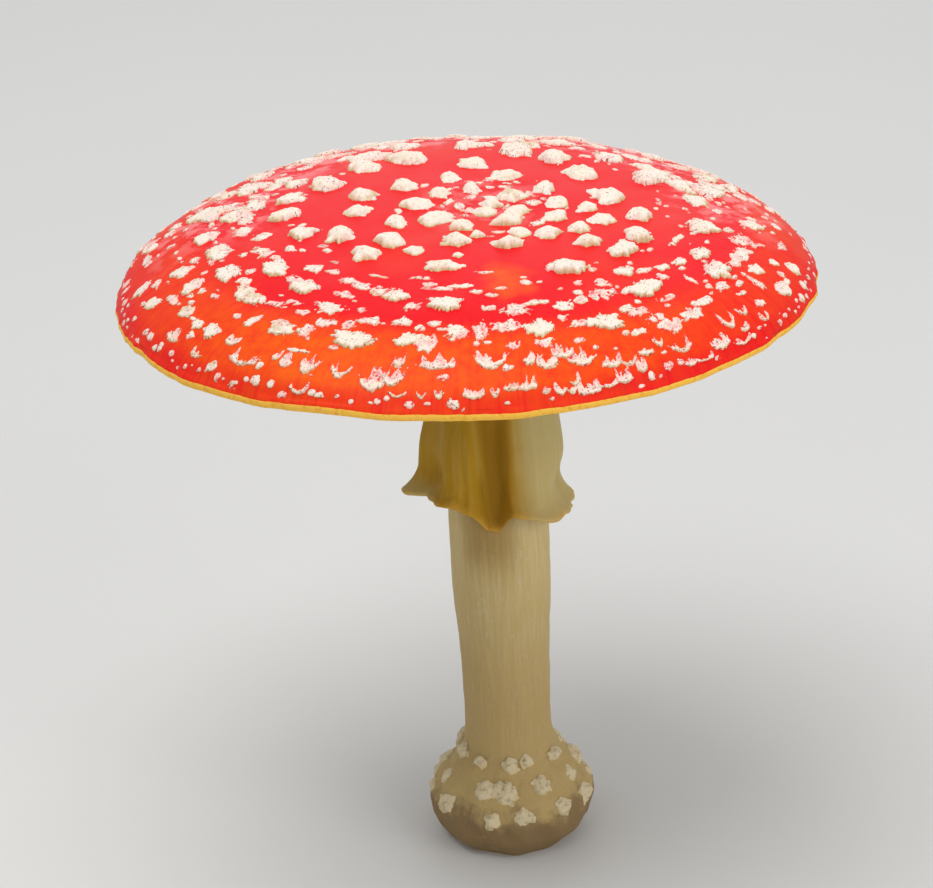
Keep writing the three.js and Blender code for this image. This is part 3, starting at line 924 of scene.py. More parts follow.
def red_skin():
    """Group: the skin's red, from the share of the radius and the orange mask. It is clouded, and
    flecked where it is orange. Streaks run out from the middle, and the rim is darker."""

    def build(t, given):
        c = colours()
        where = t.place()
        ray = t.vector("NORMALIZE", t.vector("MULTIPLY", where, (1, 1, 0)))
        streaks = t.noise(ray, 75, 4, 0.6)
        cloud = t.noise(where, 38, 3)
        mottle = t.noise(where, 420, 4, 0.65)
        streaked = t.times(t.band(streaks, 0.45, 0.7), t.band(given["Share"], 0.5, 0.9))
        flecks = t.times(t.minus(mottle, 0.5), given["Orange"])
        warm = t.plus(given["Orange"], t.times(t.minus(cloud, 0.5), 0.7))
        warm = t.minus(warm, t.times(streaked, 0.16))
        warm = t.plus(warm, t.times(flecks, 1.8))
        tint = t.mix(t.math("MAXIMUM", t.math("MINIMUM", warm, 1.0), 0.0), c.red, c.orange)
        rim = t.times(
            t.band(given["Share"], 0.96, 0.995), t.band(t.plus(streaks, mottle), 0.9, 1.3)
        )
        return {"Colour": t.tinted(tint, rim, 0.4, c.deep_red), "Streaks": streaks}

    return group(
        "Red skin",
        [("Share", "NodeSocketFloat"), ("Orange", "NodeSocketFloat")],
        [("Colour", "NodeSocketColor"), ("Streaks", "NodeSocketFloat")],
        build,
    )


def grain():
    """Group: a crumbly grain in two sizes, as a height and as a mask of its hollows."""

    def build(t, given):
        coarse = t.noise(given["Vector"], 900, 4, 0.62)
        fine = t.noise(given["Vector"], 3600, 3, 0.6)
        return {"Height": t.plus(coarse, t.times(fine, 0.35)), "Hollow": t.band(coarse, 0.5, 0.3)}

    return group(
        "Grain",
        [("Vector", "NodeSocketVector")],
        [("Height", "NodeSocketFloat"), ("Hollow", "NodeSocketFloat")],
        build,
    )


def skin_material():
    """Glossy red skin with a pink haze, partly a film of veil and partly painted sheen, the bare
    margin, and the underside's pale flesh.
    """

    def build(t):
        c = colours()
        red = t.use(red_skin(), Share=t.attribute("share"), Orange=t.attribute("orange"))
        where = t.place()
        crumbs = t.use(grain(), Vector=where)
        # The pink haze is partly a thin film of veil and partly painted sheen.
        film = t.times(t.attribute("veil_haze_and_sheen"), t.band(t.noise(where, 210, 4, 0.6), 0.46, 0.6))
        hazy_red = t.tinted(red["Colour"], film, 0.5, c.veil_haze_and_sheen)
        edge = t.plus(t.attribute("margin"), t.times(crumbs["Height"], 0.3))
        bare = t.band(edge, 0.6, 0.7)
        margin = t.tinted(c.margin, crumbs["Hollow"], 0.5, c.margin_dark)
        under = t.attribute("under")
        dimples = t.noise(where, 480, 3)
        skin = t.bump(t.plus(red["Streaks"], t.times(dimples, 0.5)), 0.00012, 0.55)
        dull = t.plus(t.times(bare, 0.3), 0.34)
        dull = t.plus(dull, t.times(t.noise(where, 90, 3), 0.12))
        return {
            "Base Color": t.mix(under, t.mix(bare, hazy_red, margin), c.gill),
            "Roughness": t.plus(dull, t.times(under, 0.2)),
            "Normal": t.bump(t.times(crumbs["Height"], bare), 0.0004, 0.6, skin),
        }

    return material("Cap skin", build, Specular_IOR_Level=0.07)


def wart_material():
    """Crumbly white veil. It is yellow-brown along its lower edge, partly its own colour and partly
    painted shade on the downhill edges and walls, stained on a few patches, and specked with soil.
    Cracks run between cells. Where the veil is thin, fibres make it pink, the cracks are deep, and
    the cells are worn through to the red skin."""

    def build(t):
        c = colours()
        where = t.place()
        crumbs = t.use(grain(), Vector=where)
        across, along = t.attribute("across"), t.attribute("along")
        own = t.add("ShaderNodeCombineXYZ", X=across, Y=along).outputs["Vector"]
        thin = t.attribute("thin")
        tint = t.tinted(c.wart, t.band(t.noise(where, 170, 3), 0.45, 0.75), 0.5, c.wart_cream)
        # Yellow-brown on the lower edges and walls: partly the veil's colour, partly painted shade.
        low = t.plus(t.attribute("low"), t.times(crumbs["Height"], 0.25))
        tint = t.tinted(tint, t.band(low, 0.15, 1.15), 0.75, c.wart_edge_and_shade)
        chosen = t.band(t.noise(t.scaled(own, (0.037, 0, 0)), 1.0, 0), 0.6, 0.7)
        stained = t.times(chosen, t.band(t.noise(where, 420, 3), 0.45, 0.62))
        tint = t.tinted(tint, stained, 0.45, c.wart_stain)
        tint = t.tinted(tint, t.band(t.noise(where, 1900, 2, 0.5), 0.68, 0.74), 0.7, c.speck)
        wander = t.add("ShaderNodeTexNoise", Vector=own, Scale=1.2).outputs["Color"]
        warped = t.vector("MULTIPLY_ADD", wander, (1.1, 1.1, 0), own)
        cells = t.add(
            "ShaderNodeTexVoronoi", {"feature": "DISTANCE_TO_EDGE"}, Vector=warped, Scale=1.1
        ).outputs["Distance"]
        split = t.times(t.band(cells, 0.07, 0.03), t.band(t.noise(own, 1.6, 2), 0.5, 0.58))
        tint = t.tinted(tint, split, 0.4, c.crack)
        fibres = t.band(t.noise(t.scaled(own, (2.4, 0.6, 1)), 1.0, 3), 0.42, 0.6)
        sheer = t.times(thin, t.plus(t.times(fibres, 0.5), 0.4))
        tint = t.mix(sheer, tint, c.wart_sheer)
        tint = t.tinted(tint, t.times(split, t.band(thin, 0.02, 0.1)), 0.8, c.crack_deep)
        patchy = t.band(t.plus(t.noise(own, 0.5, 2), t.times(thin, 0.3)), 0.55, 0.75)
        worn = t.times(t.band(cells, 0.13, 0.2), t.times(patchy, t.band(thin, 0.65, 1.1)))
        red = t.use(red_skin(), Share=t.attribute("share"), Orange=0.1)
        firm = t.minus(1.0, t.times(thin, 0.5))
        return {
            "Base Color": t.tinted(tint, worn, 0.9, red["Colour"]),
            "Normal": t.bump(t.times(crumbs["Height"], firm), 0.0004, 0.6),
        }

    return material(
        "Torn veil",
        build,
        Roughness=0.78,
        Specular_IOR_Level=0.2,
        Subsurface_Weight=0.1,
        Subsurface_Radius=(0.004, 0.0025, 0.0015),
        Subsurface_Scale=0.4,
    )


def gill_material():
    """Soft white blades, with painted shade making them a little darker deep between them."""

    def build(t):
        c = colours()
        where = t.place()
        tint = t.tinted(c.gill, t.band(t.noise(where, 160, 4), 0.4, 0.75), 0.5, c.gill_cream)
        # Painted shade: darker towards the blades' roots, deep between them.
        tint = t.tinted(tint, t.attribute("depth"), 0.35, c.gill_root_shade)
        return {"Base Color": tint, "Normal": t.bump(t.noise(where, 1500, 3), 0.0002, 0.5)}

    return material(
        "Gill flesh",
        build,
        Roughness=0.62,
        Specular_IOR_Level=0.3,
        Subsurface_Weight=0.15,
        Subsurface_Radius=(0.004, 0.003, 0.002),
        Subsurface_Scale=0.5,
    )


def stem_material():
    """Cream flesh with fine upright fibres and scurf, browner below its middle, with a painted
    shadow under the ring, and with clods of soil towards the foot."""

    def build(t):
        c = colours()
        fibres = t.noise(t.place((1, 1, 0.05)), 1700, 5, 0.6)
        scurf = t.noise(t.place((1, 1, 0.5)), 700, 5, 0.65)
        cloud = t.noise(t.place((1, 1, 0.5)), 55, 3)
        tint = t.tinted(c.stem, t.band(fibres, 0.4, 0.72), 0.45, c.stem_pale)
        tint = t.tinted(tint, t.band(cloud, 0.42, 0.7), 0.4, c.stem_cloud)
        tint = t.tinted(tint, t.band(scurf, 0.54, 0.66), 0.4, c.stem_pale)
        tint = t.tinted(tint, t.attribute("low"), 0.7, c.stem_low)
        # Painted shadow under the ring.
        tint = t.tinted(tint, t.attribute("shadow"), 0.7, c.stem_shadow)
        clods = t.times(t.minus(t.noise(t.place(), 130, 7, 0.7), 0.5), 1.6)
        dirt = t.band(t.plus(t.attribute("soil"), clods), 0.35, 0.75)
        height = t.plus(fibres, t.times(t.band(scurf, 0.5, 0.7), 0.6))
        return {
            "Base Color": t.tinted(tint, dirt, 0.75, c.soil),
            "Normal": t.bump(height, 0.00035, 0.5),
        }

    return material(
        "Stem flesh",
        build,
        Roughness=0.7,
        Specular_IOR_Level=0.3,
        Subsurface_Weight=0.12,
        Subsurface_Radius=(0.005, 0.0035, 0.002),
        Subsurface_Scale=0.5,
    )


def scale_material():
    """The bulb's scales: veil, yellow-brown along their lower edges, partly the veil's colour and
    partly painted shade, with soil in its hollows.
    """

    def build(t):
        c = colours()
        crumbs = t.use(grain(), Vector=t.place())
        # Yellow-brown on the scales' lower edges: partly the veil's colour, partly painted shade.
        tint = t.tinted(c.stem_pale, t.attribute("low"), 0.7, c.wart_edge_and_shade)
        tint = t.tinted(tint, crumbs["Hollow"], 0.5, c.soil)
        return {"Base Color": tint, "Normal": t.bump(crumbs["Height"], 0.0005, 0.7)}

    return material("Bulb veil", build, Roughness=0.8, Specular_IOR_Level=0.25)


def ring_material():
    """Pale membrane, ochre and painted darker as shade on one side, and painted darker as shade in
    its folds, with faint upright lines outside the folds and a worn edge."""

    def build(t):
        c = colours()
        where = t.place()
        fold_shade = t.attribute("fold_shade")
        lines = t.noise(t.place((1, 1, 0.06)), 800, 4, 0.55)
        cloud = t.times(t.minus(t.noise(where, 90, 4), 0.5), 0.7)
        # One side ochre, and painted darker there as shade.
        ochre = t.band(t.plus(t.attribute("ochre_shaded"), cloud), 0.0, 0.9)
        # Painted shade in the folds, the front valley and the inside.
        dark = t.band(t.plus(fold_shade, cloud), 0.0, 1.0)
        tint = t.mix(dark, t.mix(ochre, c.ring, c.ring_ochre_shaded), c.ring_fold_shade)
        raised = t.times(t.band(lines, 0.42, 0.72), t.minus(1.0, fold_shade))
        tint = t.tinted(tint, raised, 0.08, c.ring_line)
        worn = t.times(t.attribute("edge"), t.band(t.noise(where, 260, 4, 0.6), 0.35, 0.65))
        crumbs = t.use(grain(), Vector=where)
        height = t.plus(lines, t.times(crumbs["Height"], 0.2))
        return {
            "Base Color": t.tinted(tint, worn, 0.7, c.ring_worn),
            "Normal": t.bump(height, 0.0003, 0.5),
        }

    return material(
        "Ring veil",
        build,
        Roughness=0.6,
        Specular_IOR_Level=0.12,
        Subsurface_Weight=0.25,
        Subsurface_Radius=(0.004, 0.003, 0.0015),
        Subsurface_Scale=0.6,
    )


# --- Operators ----------------------------------------------------------------------------------


def around(points):
    """The azimuth of each point, in radians."""
    return np.arctan2(points[:, 1], points[:, 0])


def rim_line():
    """The lip and the underside in section, as shares and as heights over the rim in mm."""
    to_mm = (sizes().cap_radius / MM, 1)
    lip = smooth_line(np.array(LIP) * to_mm, LIP_RINGS)
    flesh = smooth_line(np.array([LIP[-1], *FLESH]) * to_mm, LIP_RINGS)[1:]
    return np.vstack([lip, flesh]) / to_mm


def under_dome(line, azimuth):
    """Points of the lip and the underside. Near its widest the lip stands out and in, and up and
    down, by fine seeded waves."""
    share, height = line[:, :1], line[:, 1:] * MM
    ray = np.stack([np.cos(azimuth), np.sin(azimuth)], axis=-1)
    points = cap_point(share, azimuth, height)
    outer = np.exp(-(((share - 1.003) / 0.012) ** 2)) * (height < 1.4 * MM)
    round_rim = ray * sizes().cap_radius
    out = 0.00022 * ripples(round_rim, 0.009, 8) + 0.00012 * ripples(round_rim, 0.0028, 9)
    points[..., :2] += (outer * out)[..., None] * ray
    points[..., 2] += outer * 0.0002 * ripples(round_rim, 0.016, 10)
    return points


def orange_mask(points, share):
    """Orange fills a zone above the rim, strongest at the front, and one spot with a wavy edge."""
    front = np.cos(around(points) - np.radians(ORANGE_FRONT))
    zone = smoothstep(0.72, 0.86, share) * (1 - 0.5 * smoothstep(0.955, 0.985, share))
    zone = zone * (0.4 + 0.6 * smoothstep(0.5, 0.97, front))
    spot_at = cap_point(np.array(ORANGE_SPOT[0]), np.radians(ORANGE_SPOT[1]), 0.0)
    off = np.linalg.norm((points - spot_at)[:, :2] * (1.25, 0.8), axis=1)
    spot = smoothstep(0.0078, 0.0018, off + 0.0017 * ripples(points, 0.0045, 14))
    return 0.75 * zone + 0.65 * spot


def veil_haze_and_sheen_mask(points, share):
    """A pink haze, partly a thin film of veil and partly painted sheen, lies in a belt over the far
    half, and round the middle.
    """
    belt = smoothstep(0.52, 0.64, share) * smoothstep(0.95, 0.86, share)
    far = smoothstep(-0.3, 0.15, np.sin(around(points)))
    return belt * far + 0.5 * smoothstep(0.27, 0.1, share)


class MUSHROOM_OT_cap(bpy.types.Operator):
    """Make the red skin with its lip and its pale underside"""

    bl_idname = "mushroom.cap"
    bl_label = "Cap"

    def execute(self, context):
        """Rings run down the dome at even steps, round the lip and back to the axis under it."""
        azimuth = np.arange(CAP_COLUMNS) / CAP_COLUMNS * TURN
        ray = np.stack([np.cos(azimuth), np.sin(azimuth)], axis=-1)
        shares, arc = dome_arc()
        ways = np.linspace(0, np.interp(LIP[0][0], shares, arc), CAP_RINGS)[1:-1]
        dome = on_dome(ways[:, None, None] * ray, np.zeros((len(ways), CAP_COLUMNS)))
        line = rim_line()
        grid = np.concatenate([dome, under_dome(line, azimuth)])
        top = on_dome(np.zeros((1, 2)), np.zeros(1))
        foot = cap_point(np.zeros(1), np.zeros(1), np.full(1, FLESH[-1][1] * MM))
        points = globe_points(top, grid[None], foot)
        past_lip = np.arange(len(line)) > np.argmin(line[:, 1])
        margin = np.maximum(np.interp(line[:, 1], [0.3, 0.9], [1, 0]), past_lip)
        under = smoothstep(0.984, 0.974, line[:, 0]) * past_lip
        on_ways = np.interp(ways, arc, shares)
        share = ring_values(0, np.append(on_ways, line[:, 0]), CAP_COLUMNS, 0)
        values = {
            "share": share,
            "orange": orange_mask(points, share),
            "veil_haze_and_sheen": veil_haze_and_sheen_mask(points, share),
            "margin": ring_values(0, np.append(0 * ways, margin), CAP_COLUMNS, 0),
            "under": ring_values(0, np.append(0 * ways, under), CAP_COLUMNS, 1),
        }
        faces = globe_faces(1, len(grid), CAP_COLUMNS)
        add_piece("cap_skin", points, faces, values, skin_material(), "cap")
        return {"FINISHED"}


class MUSHROOM_OT_veil(bpy.types.Operator):
    """Lay the warts, torn films, crowns and specks of veil on the cap"""

    bl_idname = "mushroom.veil"
    bl_label = "Veil"

    def execute(self, context):
        """The large patches stand where they are listed, and on the far side in rows. The small
        ones are scattered, and kept where they are clear of the large ones."""
        veil = wart_material()
        lumps, far_lumps = np.array(LUMPS), far_places(FAR_LUMPS, 21)
        films = np.vstack([np.array(FILMS), far_places(FAR_FILMS, 22)]) * (1, 1, 0.9, 0.9)
        crowns = np.vstack([np.array(CROWNS), far_places(FAR_CROWNS, 23)]) * (1, 1, 0.82, 0.88)
        large = np.vstack([lumps, far_lumps, films, crowns])
        small = those_clear(np.vstack([wisps(), specks()]), large)
        add_patches("warts", lumps, "lump", 11, veil)
        add_patches("far_warts", far_lumps, "lump", 12, veil)
        add_patches("torn_films", films, "film", 31, veil)
        add_patches("torn_crowns", crowns, "crown", 51, veil)
        add_patches("specks", small, "speck", 71, veil)
        return {"FINISHED"}


def gill_set(count, turned, first, deep, rise, stations, seed):
    """Blades that are thin wedges between the flesh and the gills' edge, and sway a little from
    side to side. A blade's depth grows from its least at each end. Returns the vertices, how far
    up the blade they are, and the faces."""
    roof, edge = np.array([LIP[-1], *FLESH])[::-1], np.array(GILL_EDGE)
    azimuth = (np.arange(count) + turned) * TURN / count
    t = np.linspace(0, 1, stations)
    share = first + (GILL_END - first) * t
    high = np.interp(share, roof[:, 0], roof[:, 1]) + GILL_SUNK
    full = np.interp(share, edge[:, 0], edge[:, 1]) - high
    grow = smoothstep(0, rise, t) * smoothstep(1.0, 0.93, t)
    depth = full * (GILL_LEAST + (deep - GILL_LEAST) * grow)
    # Down one side of the blade and up the other: how far down it, and how far to its side.
    drop = np.array([0, 0.5, 1, 1, 0.5, 0])
    side = np.array([-1, -0.8, -0.5, 0.5, 0.8, 1]) * 0.5 * sizes().gill_thickness
    height = (high[:, None] + depth[:, None] * drop) * MM
    phase = np.random.default_rng(seed).uniform(0, TURN, (count, 1))
    sway = 0.0003 * np.sin(share * 24 + phase)[..., None] * drop
    centre = cap_point(share[:, None], azimuth[:, None, None], height)
    across = np.stack([-np.sin(azimuth), np.cos(azimuth), 0 * azimuth], axis=-1)
    grid = centre + (side + sway)[..., None] * across[:, None, None, :]
    points = globe_points(grid[:, 0].mean(axis=1), grid, grid[:, -1].mean(axis=1))
    ends = np.ones((count, 1))
    up = np.broadcast_to((1 - drop)[:, None], (*grid.shape[:3], 1))
    return points, globe_points(ends, up, ends).ravel(), globe_faces(count, stations, len(drop))


class MUSHROOM_OT_gills(bpy.types.Operator):
    """Hang the gills under the cap"""

    bl_idname = "mushroom.gills"
    bl_label = "Gills"

    def execute(self, context):
        """The sets of blades are joined in one piece."""
        made = [gill_set(*blades, 40 + index) for index, blades in enumerate(GILL_SETS)]
        points, depths, faces = zip(*made, strict=True)
        starts = np.cumsum([0, *map(len, points[:-1])])
        joined = [
            np.concatenate([f[k] + start for f, start in zip(faces, starts, strict=True)])
            for k in (0, 1)
        ]
        # depth is 1 at a blade's root, where the gill material paints shade.
        values = {"depth": np.concatenate(depths)}
        flesh = gill_material()
        add_piece("gill_blades", np.vstack(points), joined, values, flesh, "gills")
        return {"FINISHED"}


def stem_radius(height):
    """The stem's radius at a height, from straight lines between its measured radii."""
    line = np.array(STEM) * MM
    return np.interp(height, line[:, 0], line[:, 1])


def on_stem(radius, height, azimuth):
    """A point round the stem's axis. The bulb is squashed a little along Y."""
    squash = np.maximum(0, 1 - height / 0.024) * 0.035 * np.cos(2 * azimuth)
    return np.stack(
        np.broadcast_arrays(
            radius * (1 + squash) * np.cos(azimuth), radius * (1 - squash) * np.sin(azimuth), height
        ),
        axis=-1,
    )


def stem_relief(grid, height):
    """Fine upright ridges, and lumps that grow towards the foot, with a band of them at each row
    of scales. The cut foot and the top are flat."""
    ridges = ripples(grid * (1, 1, 0.05), 0.0016, 61)
    ridges = ridges + 0.6 * ripples(grid * (1, 1, 0.12), 0.004, 62)
    lumps = ripples(grid, 0.008, 63)
    for level, _, _ in BULB_ROWS:
        band = np.exp(-(((height / MM - level - 0.8 * ripples(grid, 0.02, 64)) / 0.9) ** 2))
        lumps = lumps + 0.9 * band * (0.7 + 0.5 * ripples(grid, 0.003, 65))
    shaggy = 0.00008 + 0.00035 * smoothstep(0.03, 0.012, height)
    on_side = (height > 0.0001) & (height < 0.1317)
    return (0.00006 * ridges + shaggy * lumps) * on_side


def stem_marks(points):
    """Soil thickens towards the foot, and rings the cut. The low part is browner. The painted shadow
    is under the ring, on one side."""
    height = points[:, 2]
    soil = 0.72 * smoothstep(0.019, 0.004, height) + 0.12 * smoothstep(0.05, 0.0, height)
    on_cut = 0.15 + 0.5 * smoothstep(0.008, 0.012, np.hypot(points[:, 0], points[:, 1]))
    # Painted shadow under the ring's front valley.
    shadow = smoothstep(0.72, 1.0, np.cos(around(points) - np.radians(STEM_SHADOW)))
    return {
        "soil": np.where(height < 0.0001, on_cut, soil),
        "low": smoothstep(0.072, 0.03, height),
        "shadow": shadow * smoothstep(0.06, 0.072, height) * smoothstep(0.1, 0.088, height),
    }


class MUSHROOM_OT_stem(bpy.types.Operator):
    """Make the stem with its bulb and cut foot, and the bulb's scales"""

    bl_idname = "mushroom.stem"
    bl_label = "Stem"

    def execute(self, context):
        """The stem is turned from its profile, which is closed by a flat foot and top."""
        azimuth = np.arange(STEM_COLUMNS) / STEM_COLUMNS * TURN
        side = smooth_line([STEM_FOOT, *STEM], STEM_RINGS)
        foot = np.column_stack([np.zeros(9), np.linspace(1.2, 12.3, 9)])
        top = np.column_stack([np.full(5, STEM_TOP), np.linspace(11.0, 2.0, 5)])
        line = np.vstack([foot, side, top])[::-1] * MM
        height, radius = line[:, :1], line[:, 1:]
        grid = on_stem(radius, height, azimuth)
        out = np.stack([np.cos(azimuth), np.sin(azimuth), 0 * azimuth], axis=-1)
        grid = grid + stem_relief(grid, height)[..., None] * out
        ends = on_stem(np.zeros(1), line[[0, -1], 0], np.zeros(1))
        points = globe_points(ends[:1], grid[None], ends[1:])
        faces, marks = globe_faces(1, len(line), STEM_COLUMNS), stem_marks(points)
        add_piece("stem_flesh", points, faces, marks, stem_material(), "stem")
        self.add_scales()
        return {"FINISHED"}

    def add_scales(self):
        """The scales are lumps wrapped round the bulb in rows, and tilted as its side is."""
        rng = np.random.default_rng(9)
        places, heights = [], []
        for level, width, count in BULB_ROWS:
            at = (np.arange(count) + rng.uniform(0, 0.5, count)) / count * 360
            across = width * rng.uniform(0.85, 1.35, count)
            places.append(np.column_stack([at, 0 * at, across, 0.75 * across]))
            heights.append(np.full(count, level) + rng.uniform(-0.5, 0.5, count))
        places, heights = np.vstack(places), np.concatenate(heights) * MM
        values, faces = patches(places, "lump", 91)
        x, y, z = values[:, :3].T
        mine = values[:, 3].astype(int)
        height = heights[mine] + y
        step = 0.0005
        slope = (stem_radius(height + step) - stem_radius(height - step)) / (2 * step)
        tilt = np.hypot(1, slope)
        turn = np.radians(places[mine, 0]) + x / stem_radius(heights[mine])
        points = on_stem(stem_radius(height) + z / tilt, height - z * slope / tilt, turn)
        points[:, 2] = np.maximum(points[:, 2], 0.0006)
        low, veil = {"low": values[:, 5]}, scale_material()
        add_piece("bulb_scales", points, faces, low, veil, "stem")


def pleats_at(azimuth):
    """How far the ring's edge, waist and body stand out, and its edge hangs higher, at each
    azimuth, eased from one pleat to the next."""
    pleats = np.array(PLEATS, float)
    starts = np.append(pleats[:, 0], 360)
    degrees = np.degrees(azimuth)
    index = np.searchsorted(starts, degrees, side="right") - 1
    part = (degrees - starts[index]) / (starts[index + 1] - starts[index])
    after = (index + 1) % len(pleats)
    turn = smoothstep(0, 1, part)[:, None]
    return (pleats[index] * (1 - turn) + pleats[after] * turn)[:, 1:].T


def ring_marks(azimuth, down, inner, hollow, body):
    """The painted fold shade darkens the pleats' hollows, the deep valley at the front and the
    inside. The edge is worn in patches. One side is ochre and painted darker as shade, apart from a
    tip."""
    # fold_shade is painted shade: the pleats' hollows, the deep front valley and the inside.
    fold_shade = 0.4 * smoothstep(0, -3.5, hollow) * smoothstep(0.2, 0.8, down)
    degrees = np.degrees(azimuth)
    valley = smoothstep(241 + 15 * down, 251 + 17 * down, degrees)
    valley = valley * smoothstep(287, 279, degrees)
    edge = smoothstep(0.955, 1.0, down) * (0.75 + 0.25 * ripples(body, 0.004, 86))
    tip = smoothstep(0.85, 1, np.cos(azimuth - np.radians(RING_TIP))) * smoothstep(0.8, 1, down)
    # The ochre side: partly its tone, partly painted shade.
    ochre_shaded = smoothstep(0, 0.75, np.cos(azimuth - np.radians(RING_OCHRE_SHADED)))
    return {
        "fold_shade": np.maximum(np.maximum(fold_shade, valley), 0.7 * smoothstep(0.7, 1, inner)),
        "edge": np.clip(edge, 0, 1),
        "ochre_shaded": ochre_shaded - 0.7 * tip,
    }


class MUSHROOM_OT_ring(bpy.types.Operator):
    """Hang the pleated ring from the top of the stem"""

    bl_idname = "mushroom.ring"
    bl_label = "Ring"

    def execute(self, context):
        """The skirt's radius is its profile, plus what its pleats add towards the edge, at the
        waist and over the body, plus fine pleats that grow downwards. It thickens to a round,
        slightly ragged edge, and it never comes closer to the axis than the stem's skin."""
        s = sizes()
        azimuth = np.arange(RING_COLUMNS) / RING_COLUMNS * TURN
        ray = np.stack([np.cos(azimuth), np.sin(azimuth)], axis=-1)
        outside, edge_rows, inside = RING_ROWS
        ends = (np.linspace(0, 1, outside), np.ones(edge_rows), np.linspace(1, 0, inside))
        down = np.concatenate(ends)[:, None]
        turned = np.linspace(0, 1, edge_rows + 2)[1:-1]
        inner = np.concatenate([np.zeros(outside), turned, np.ones(inside)])[:, None]
        edge, waist, body_out, up = pleats_at(azimuth)
        to_mm = (30, 1)
        profile = smooth_line(np.array(RING) * to_mm, 200) / to_mm
        plain = np.interp(down, profile[:, 0], profile[:, 1])
        pinch = np.exp(-(((down - 0.84) / 0.11) ** 2))
        middle = smoothstep(0.1, 0.5, down) - smoothstep(0.75, 1.0, down)
        reach = (plain + edge * down**3 + waist * pinch + body_out * middle) * MM
        fine = 0.00022 * ripples(ray * 0.014, 0.0048, 81)
        fine = fine + 0.00007 * ripples(ray * 0.014, 0.0019, 82)
        reach = reach + fine * down**1.2
        ragged = 0.00035 * ripples(ray * 0.016, 0.009, 83)
        ragged = ragged + 0.0001 * ripples(ray * 0.016, 0.0025, 84)
        low = s.ring_edge + up * MM - s.ring_edge_slope * np.cos(azimuth) + ragged
        height = s.ring_top + (low - s.ring_top) * down
        body = np.concatenate([reach[..., None] * ray, height[..., None]], axis=-1)
        reach = reach + 0.00012 * smoothstep(0.9, 1, down) * ripples(body, 0.0022, 85)
        stem = stem_radius(height)
        free = smoothstep(0, 0.09, down)
        reach = stem + (reach - stem) * free
        least = stem - 0.0001 + s.ring_wall * (1 - inner) * free
        wall = s.ring_wall * (0.55 + 1.15 * smoothstep(0.9, 1.0, down))
        half_turn = np.pi * inner
        radius = np.maximum(least, reach - wall * 0.5 * (1 - np.cos(half_turn)))
        grid = on_stem(radius, height - np.sin(half_turn) * 0.5 * wall, azimuth)
        marks = ring_marks(azimuth, down, inner, reach / MM - plain, body)
        faces, veil = loop_faces(len(down), RING_COLUMNS), ring_material()
        add_piece("ring_skirt", grid.reshape(-1, 3), faces, marks, veil, "ring")
        return {"FINISHED"}


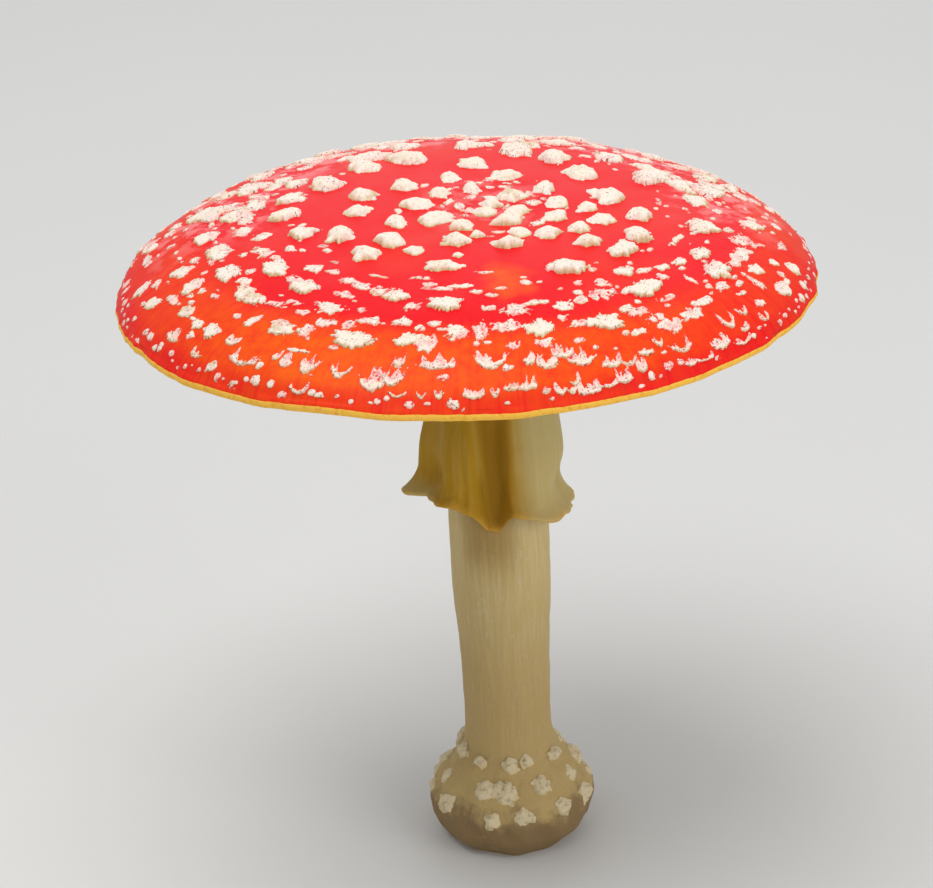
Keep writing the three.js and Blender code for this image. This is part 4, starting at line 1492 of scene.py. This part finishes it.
class MUSHROOM_OT_stage(bpy.types.Operator):
    """Set the floor, the lights and the camera"""

    bl_idname = "mushroom.stage"
    bl_label = "Stage"

    def execute(self, context):
        """A wide floor, three area lights, an even pale sky and the camera."""
        scene = context.scene
        mesh = bpy.data.meshes.new("floor")
        mesh.from_pydata([(-4, -4, 0), (4, -4, 0), (4, 4, 0), (-4, 4, 0)], [], [(0, 1, 2, 3)])
        mesh.materials.append(self.floor_material())
        floor = bpy.data.objects.new("floor", mesh)
        scene.collection.objects.link(floor)
        self.add_light("key", 0.9, 7.8, (-0.2, -0.15, 1.2))
        self.add_light("back", 0.9, 2.2, (0.1, 1.2, 0.75))
        self.add_light("fill", 0.9, 5.2, (0.95, -0.85, 0.5))
        world = bpy.data.worlds.new("Studio")
        world.use_nodes = True
        world.node_tree.nodes["Background"].inputs["Color"].default_value = (0.95, 0.97, 1, 1)
        world.node_tree.nodes["Background"].inputs["Strength"].default_value = 0.52
        scene.world = world
        scene.view_settings.view_transform = "Standard"
        self.add_camera(scene)
        return {"FINISHED"}

    def floor_material(self):
        """Pale grey. It is clear from below, and for rays that have just left the foot."""
        made = bpy.data.materials.new("Floor")
        made.use_nodes = True
        tree = Tree(made.node_tree)
        shader = made.node_tree.nodes["Principled BSDF"]
        grey = tree.noise(tree.place(), 6, 3)
        tint = tree.mix(grey, colours().floor, tuple(0.96 * v for v in colours().floor))
        tree.put(shader.inputs["Base Color"], tint)
        shader.inputs["Roughness"].default_value = 0.9
        shader.inputs["Specular IOR Level"].default_value = 0.1
        behind = tree.add("ShaderNodeNewGeometry").outputs["Backfacing"]
        near = tree.math("LESS_THAN", tree.add("ShaderNodeLightPath").outputs["Ray Length"], 0.0004)
        clear = tree.add("ShaderNodeBsdfTransparent").outputs[0]
        mixed = tree.add("ShaderNodeMixShader")
        tree.fill(mixed, (tree.math("MAXIMUM", behind, near), shader.outputs[0], clear))
        tree.put(made.node_tree.nodes["Material Output"].inputs["Surface"], mixed.outputs[0])
        return made

    def add_light(self, name, size, power, position):
        """A square area light at the position, turned to face the mushroom's middle."""
        data = bpy.data.lights.new(name, "AREA")
        data.size, data.energy = size, power
        lamp = bpy.data.objects.new(name, data)
        place = Matrix.Translation(position)
        middle = Matrix.Translation((0, 0, 0.1))
        aim = (middle.translation - place.translation).to_track_quat("-Z", "Y")
        lamp.matrix_world = place @ aim.to_matrix().to_4x4()
        bpy.context.scene.collection.objects.link(lamp)

    def add_camera(self, scene):
        """The camera stands in front of the middle of the rim, looks down on it, is turned about
        its view and shifted, as its constants say."""
        pitch, roll = np.radians(CAMERA_PITCH), np.radians(CAMERA_ROLL)
        ahead = np.array([0, np.cos(pitch), -np.sin(pitch)])
        level, rise = np.array([1.0, 0, 0]), np.array([0, np.sin(pitch), np.cos(pitch)])
        right = level * np.cos(roll) + rise * np.sin(roll)
        up = -level * np.sin(roll) + rise * np.cos(roll)
        centre = np.array([0, 0, sizes().rim_height])
        eye = centre - CAMERA_WAY * ahead - CAMERA_SHIFT[0] * right - CAMERA_SHIFT[1] * up
        data = bpy.data.cameras.new("camera")
        data.sensor_width = SENSOR_WIDTH
        data.lens = CAMERA_FOCUS / PICTURE_WIDTH * SENSOR_WIDTH
        data.clip_start, data.clip_end = 0.01, 50
        camera = bpy.data.objects.new("camera", data)
        turn = Matrix(np.column_stack([right, up, -ahead]).tolist()).to_4x4()
        camera.matrix_world = Matrix.Translation(eye.tolist()) @ turn
        scene.collection.objects.link(camera)
        scene.camera = camera


class MUSHROOM_PT_panel(bpy.types.Panel):
    """The mushroom's settings and the buttons that build it"""

    bl_label = "Mushroom"
    bl_idname = "MUSHROOM_PT_panel"
    bl_space_type = "VIEW_3D"
    bl_region_type = "UI"
    bl_category = "Mushroom"

    def draw(self, context):
        """The settings in two boxes, and a button for each operator."""
        for settings in (context.scene.mushroom_sizes, context.scene.mushroom_colours):
            box = self.layout.box()
            for name in settings.__annotations__:
                box.prop(settings, name)
        for operator in OPERATORS:
            self.layout.operator(operator.bl_idname)


OPERATORS = (
    MUSHROOM_OT_cap,
    MUSHROOM_OT_veil,
    MUSHROOM_OT_gills,
    MUSHROOM_OT_stem,
    MUSHROOM_OT_ring,
    MUSHROOM_OT_stage,
)
CLASSES = (MushroomSizes, MushroomColours, *OPERATORS, MUSHROOM_PT_panel)


def register():
    """Adds the classes, and the settings of the scene."""
    for cls in CLASSES:
        bpy.utils.register_class(cls)
    bpy.types.Scene.mushroom_sizes = PointerProperty(type=MushroomSizes)
    bpy.types.Scene.mushroom_colours = PointerProperty(type=MushroomColours)


def unregister():
    """Takes the settings and the classes away again."""
    del bpy.types.Scene.mushroom_colours
    del bpy.types.Scene.mushroom_sizes
    for cls in reversed(CLASSES):
        bpy.utils.unregister_class(cls)


def main():
    """Builds every piece and the stage."""
    register()
    bpy.ops.mushroom.cap()
    bpy.ops.mushroom.veil()
    bpy.ops.mushroom.gills()
    bpy.ops.mushroom.stem()
    bpy.ops.mushroom.ring()
    bpy.ops.mushroom.stage()


if __name__ == "__main__":
    main()
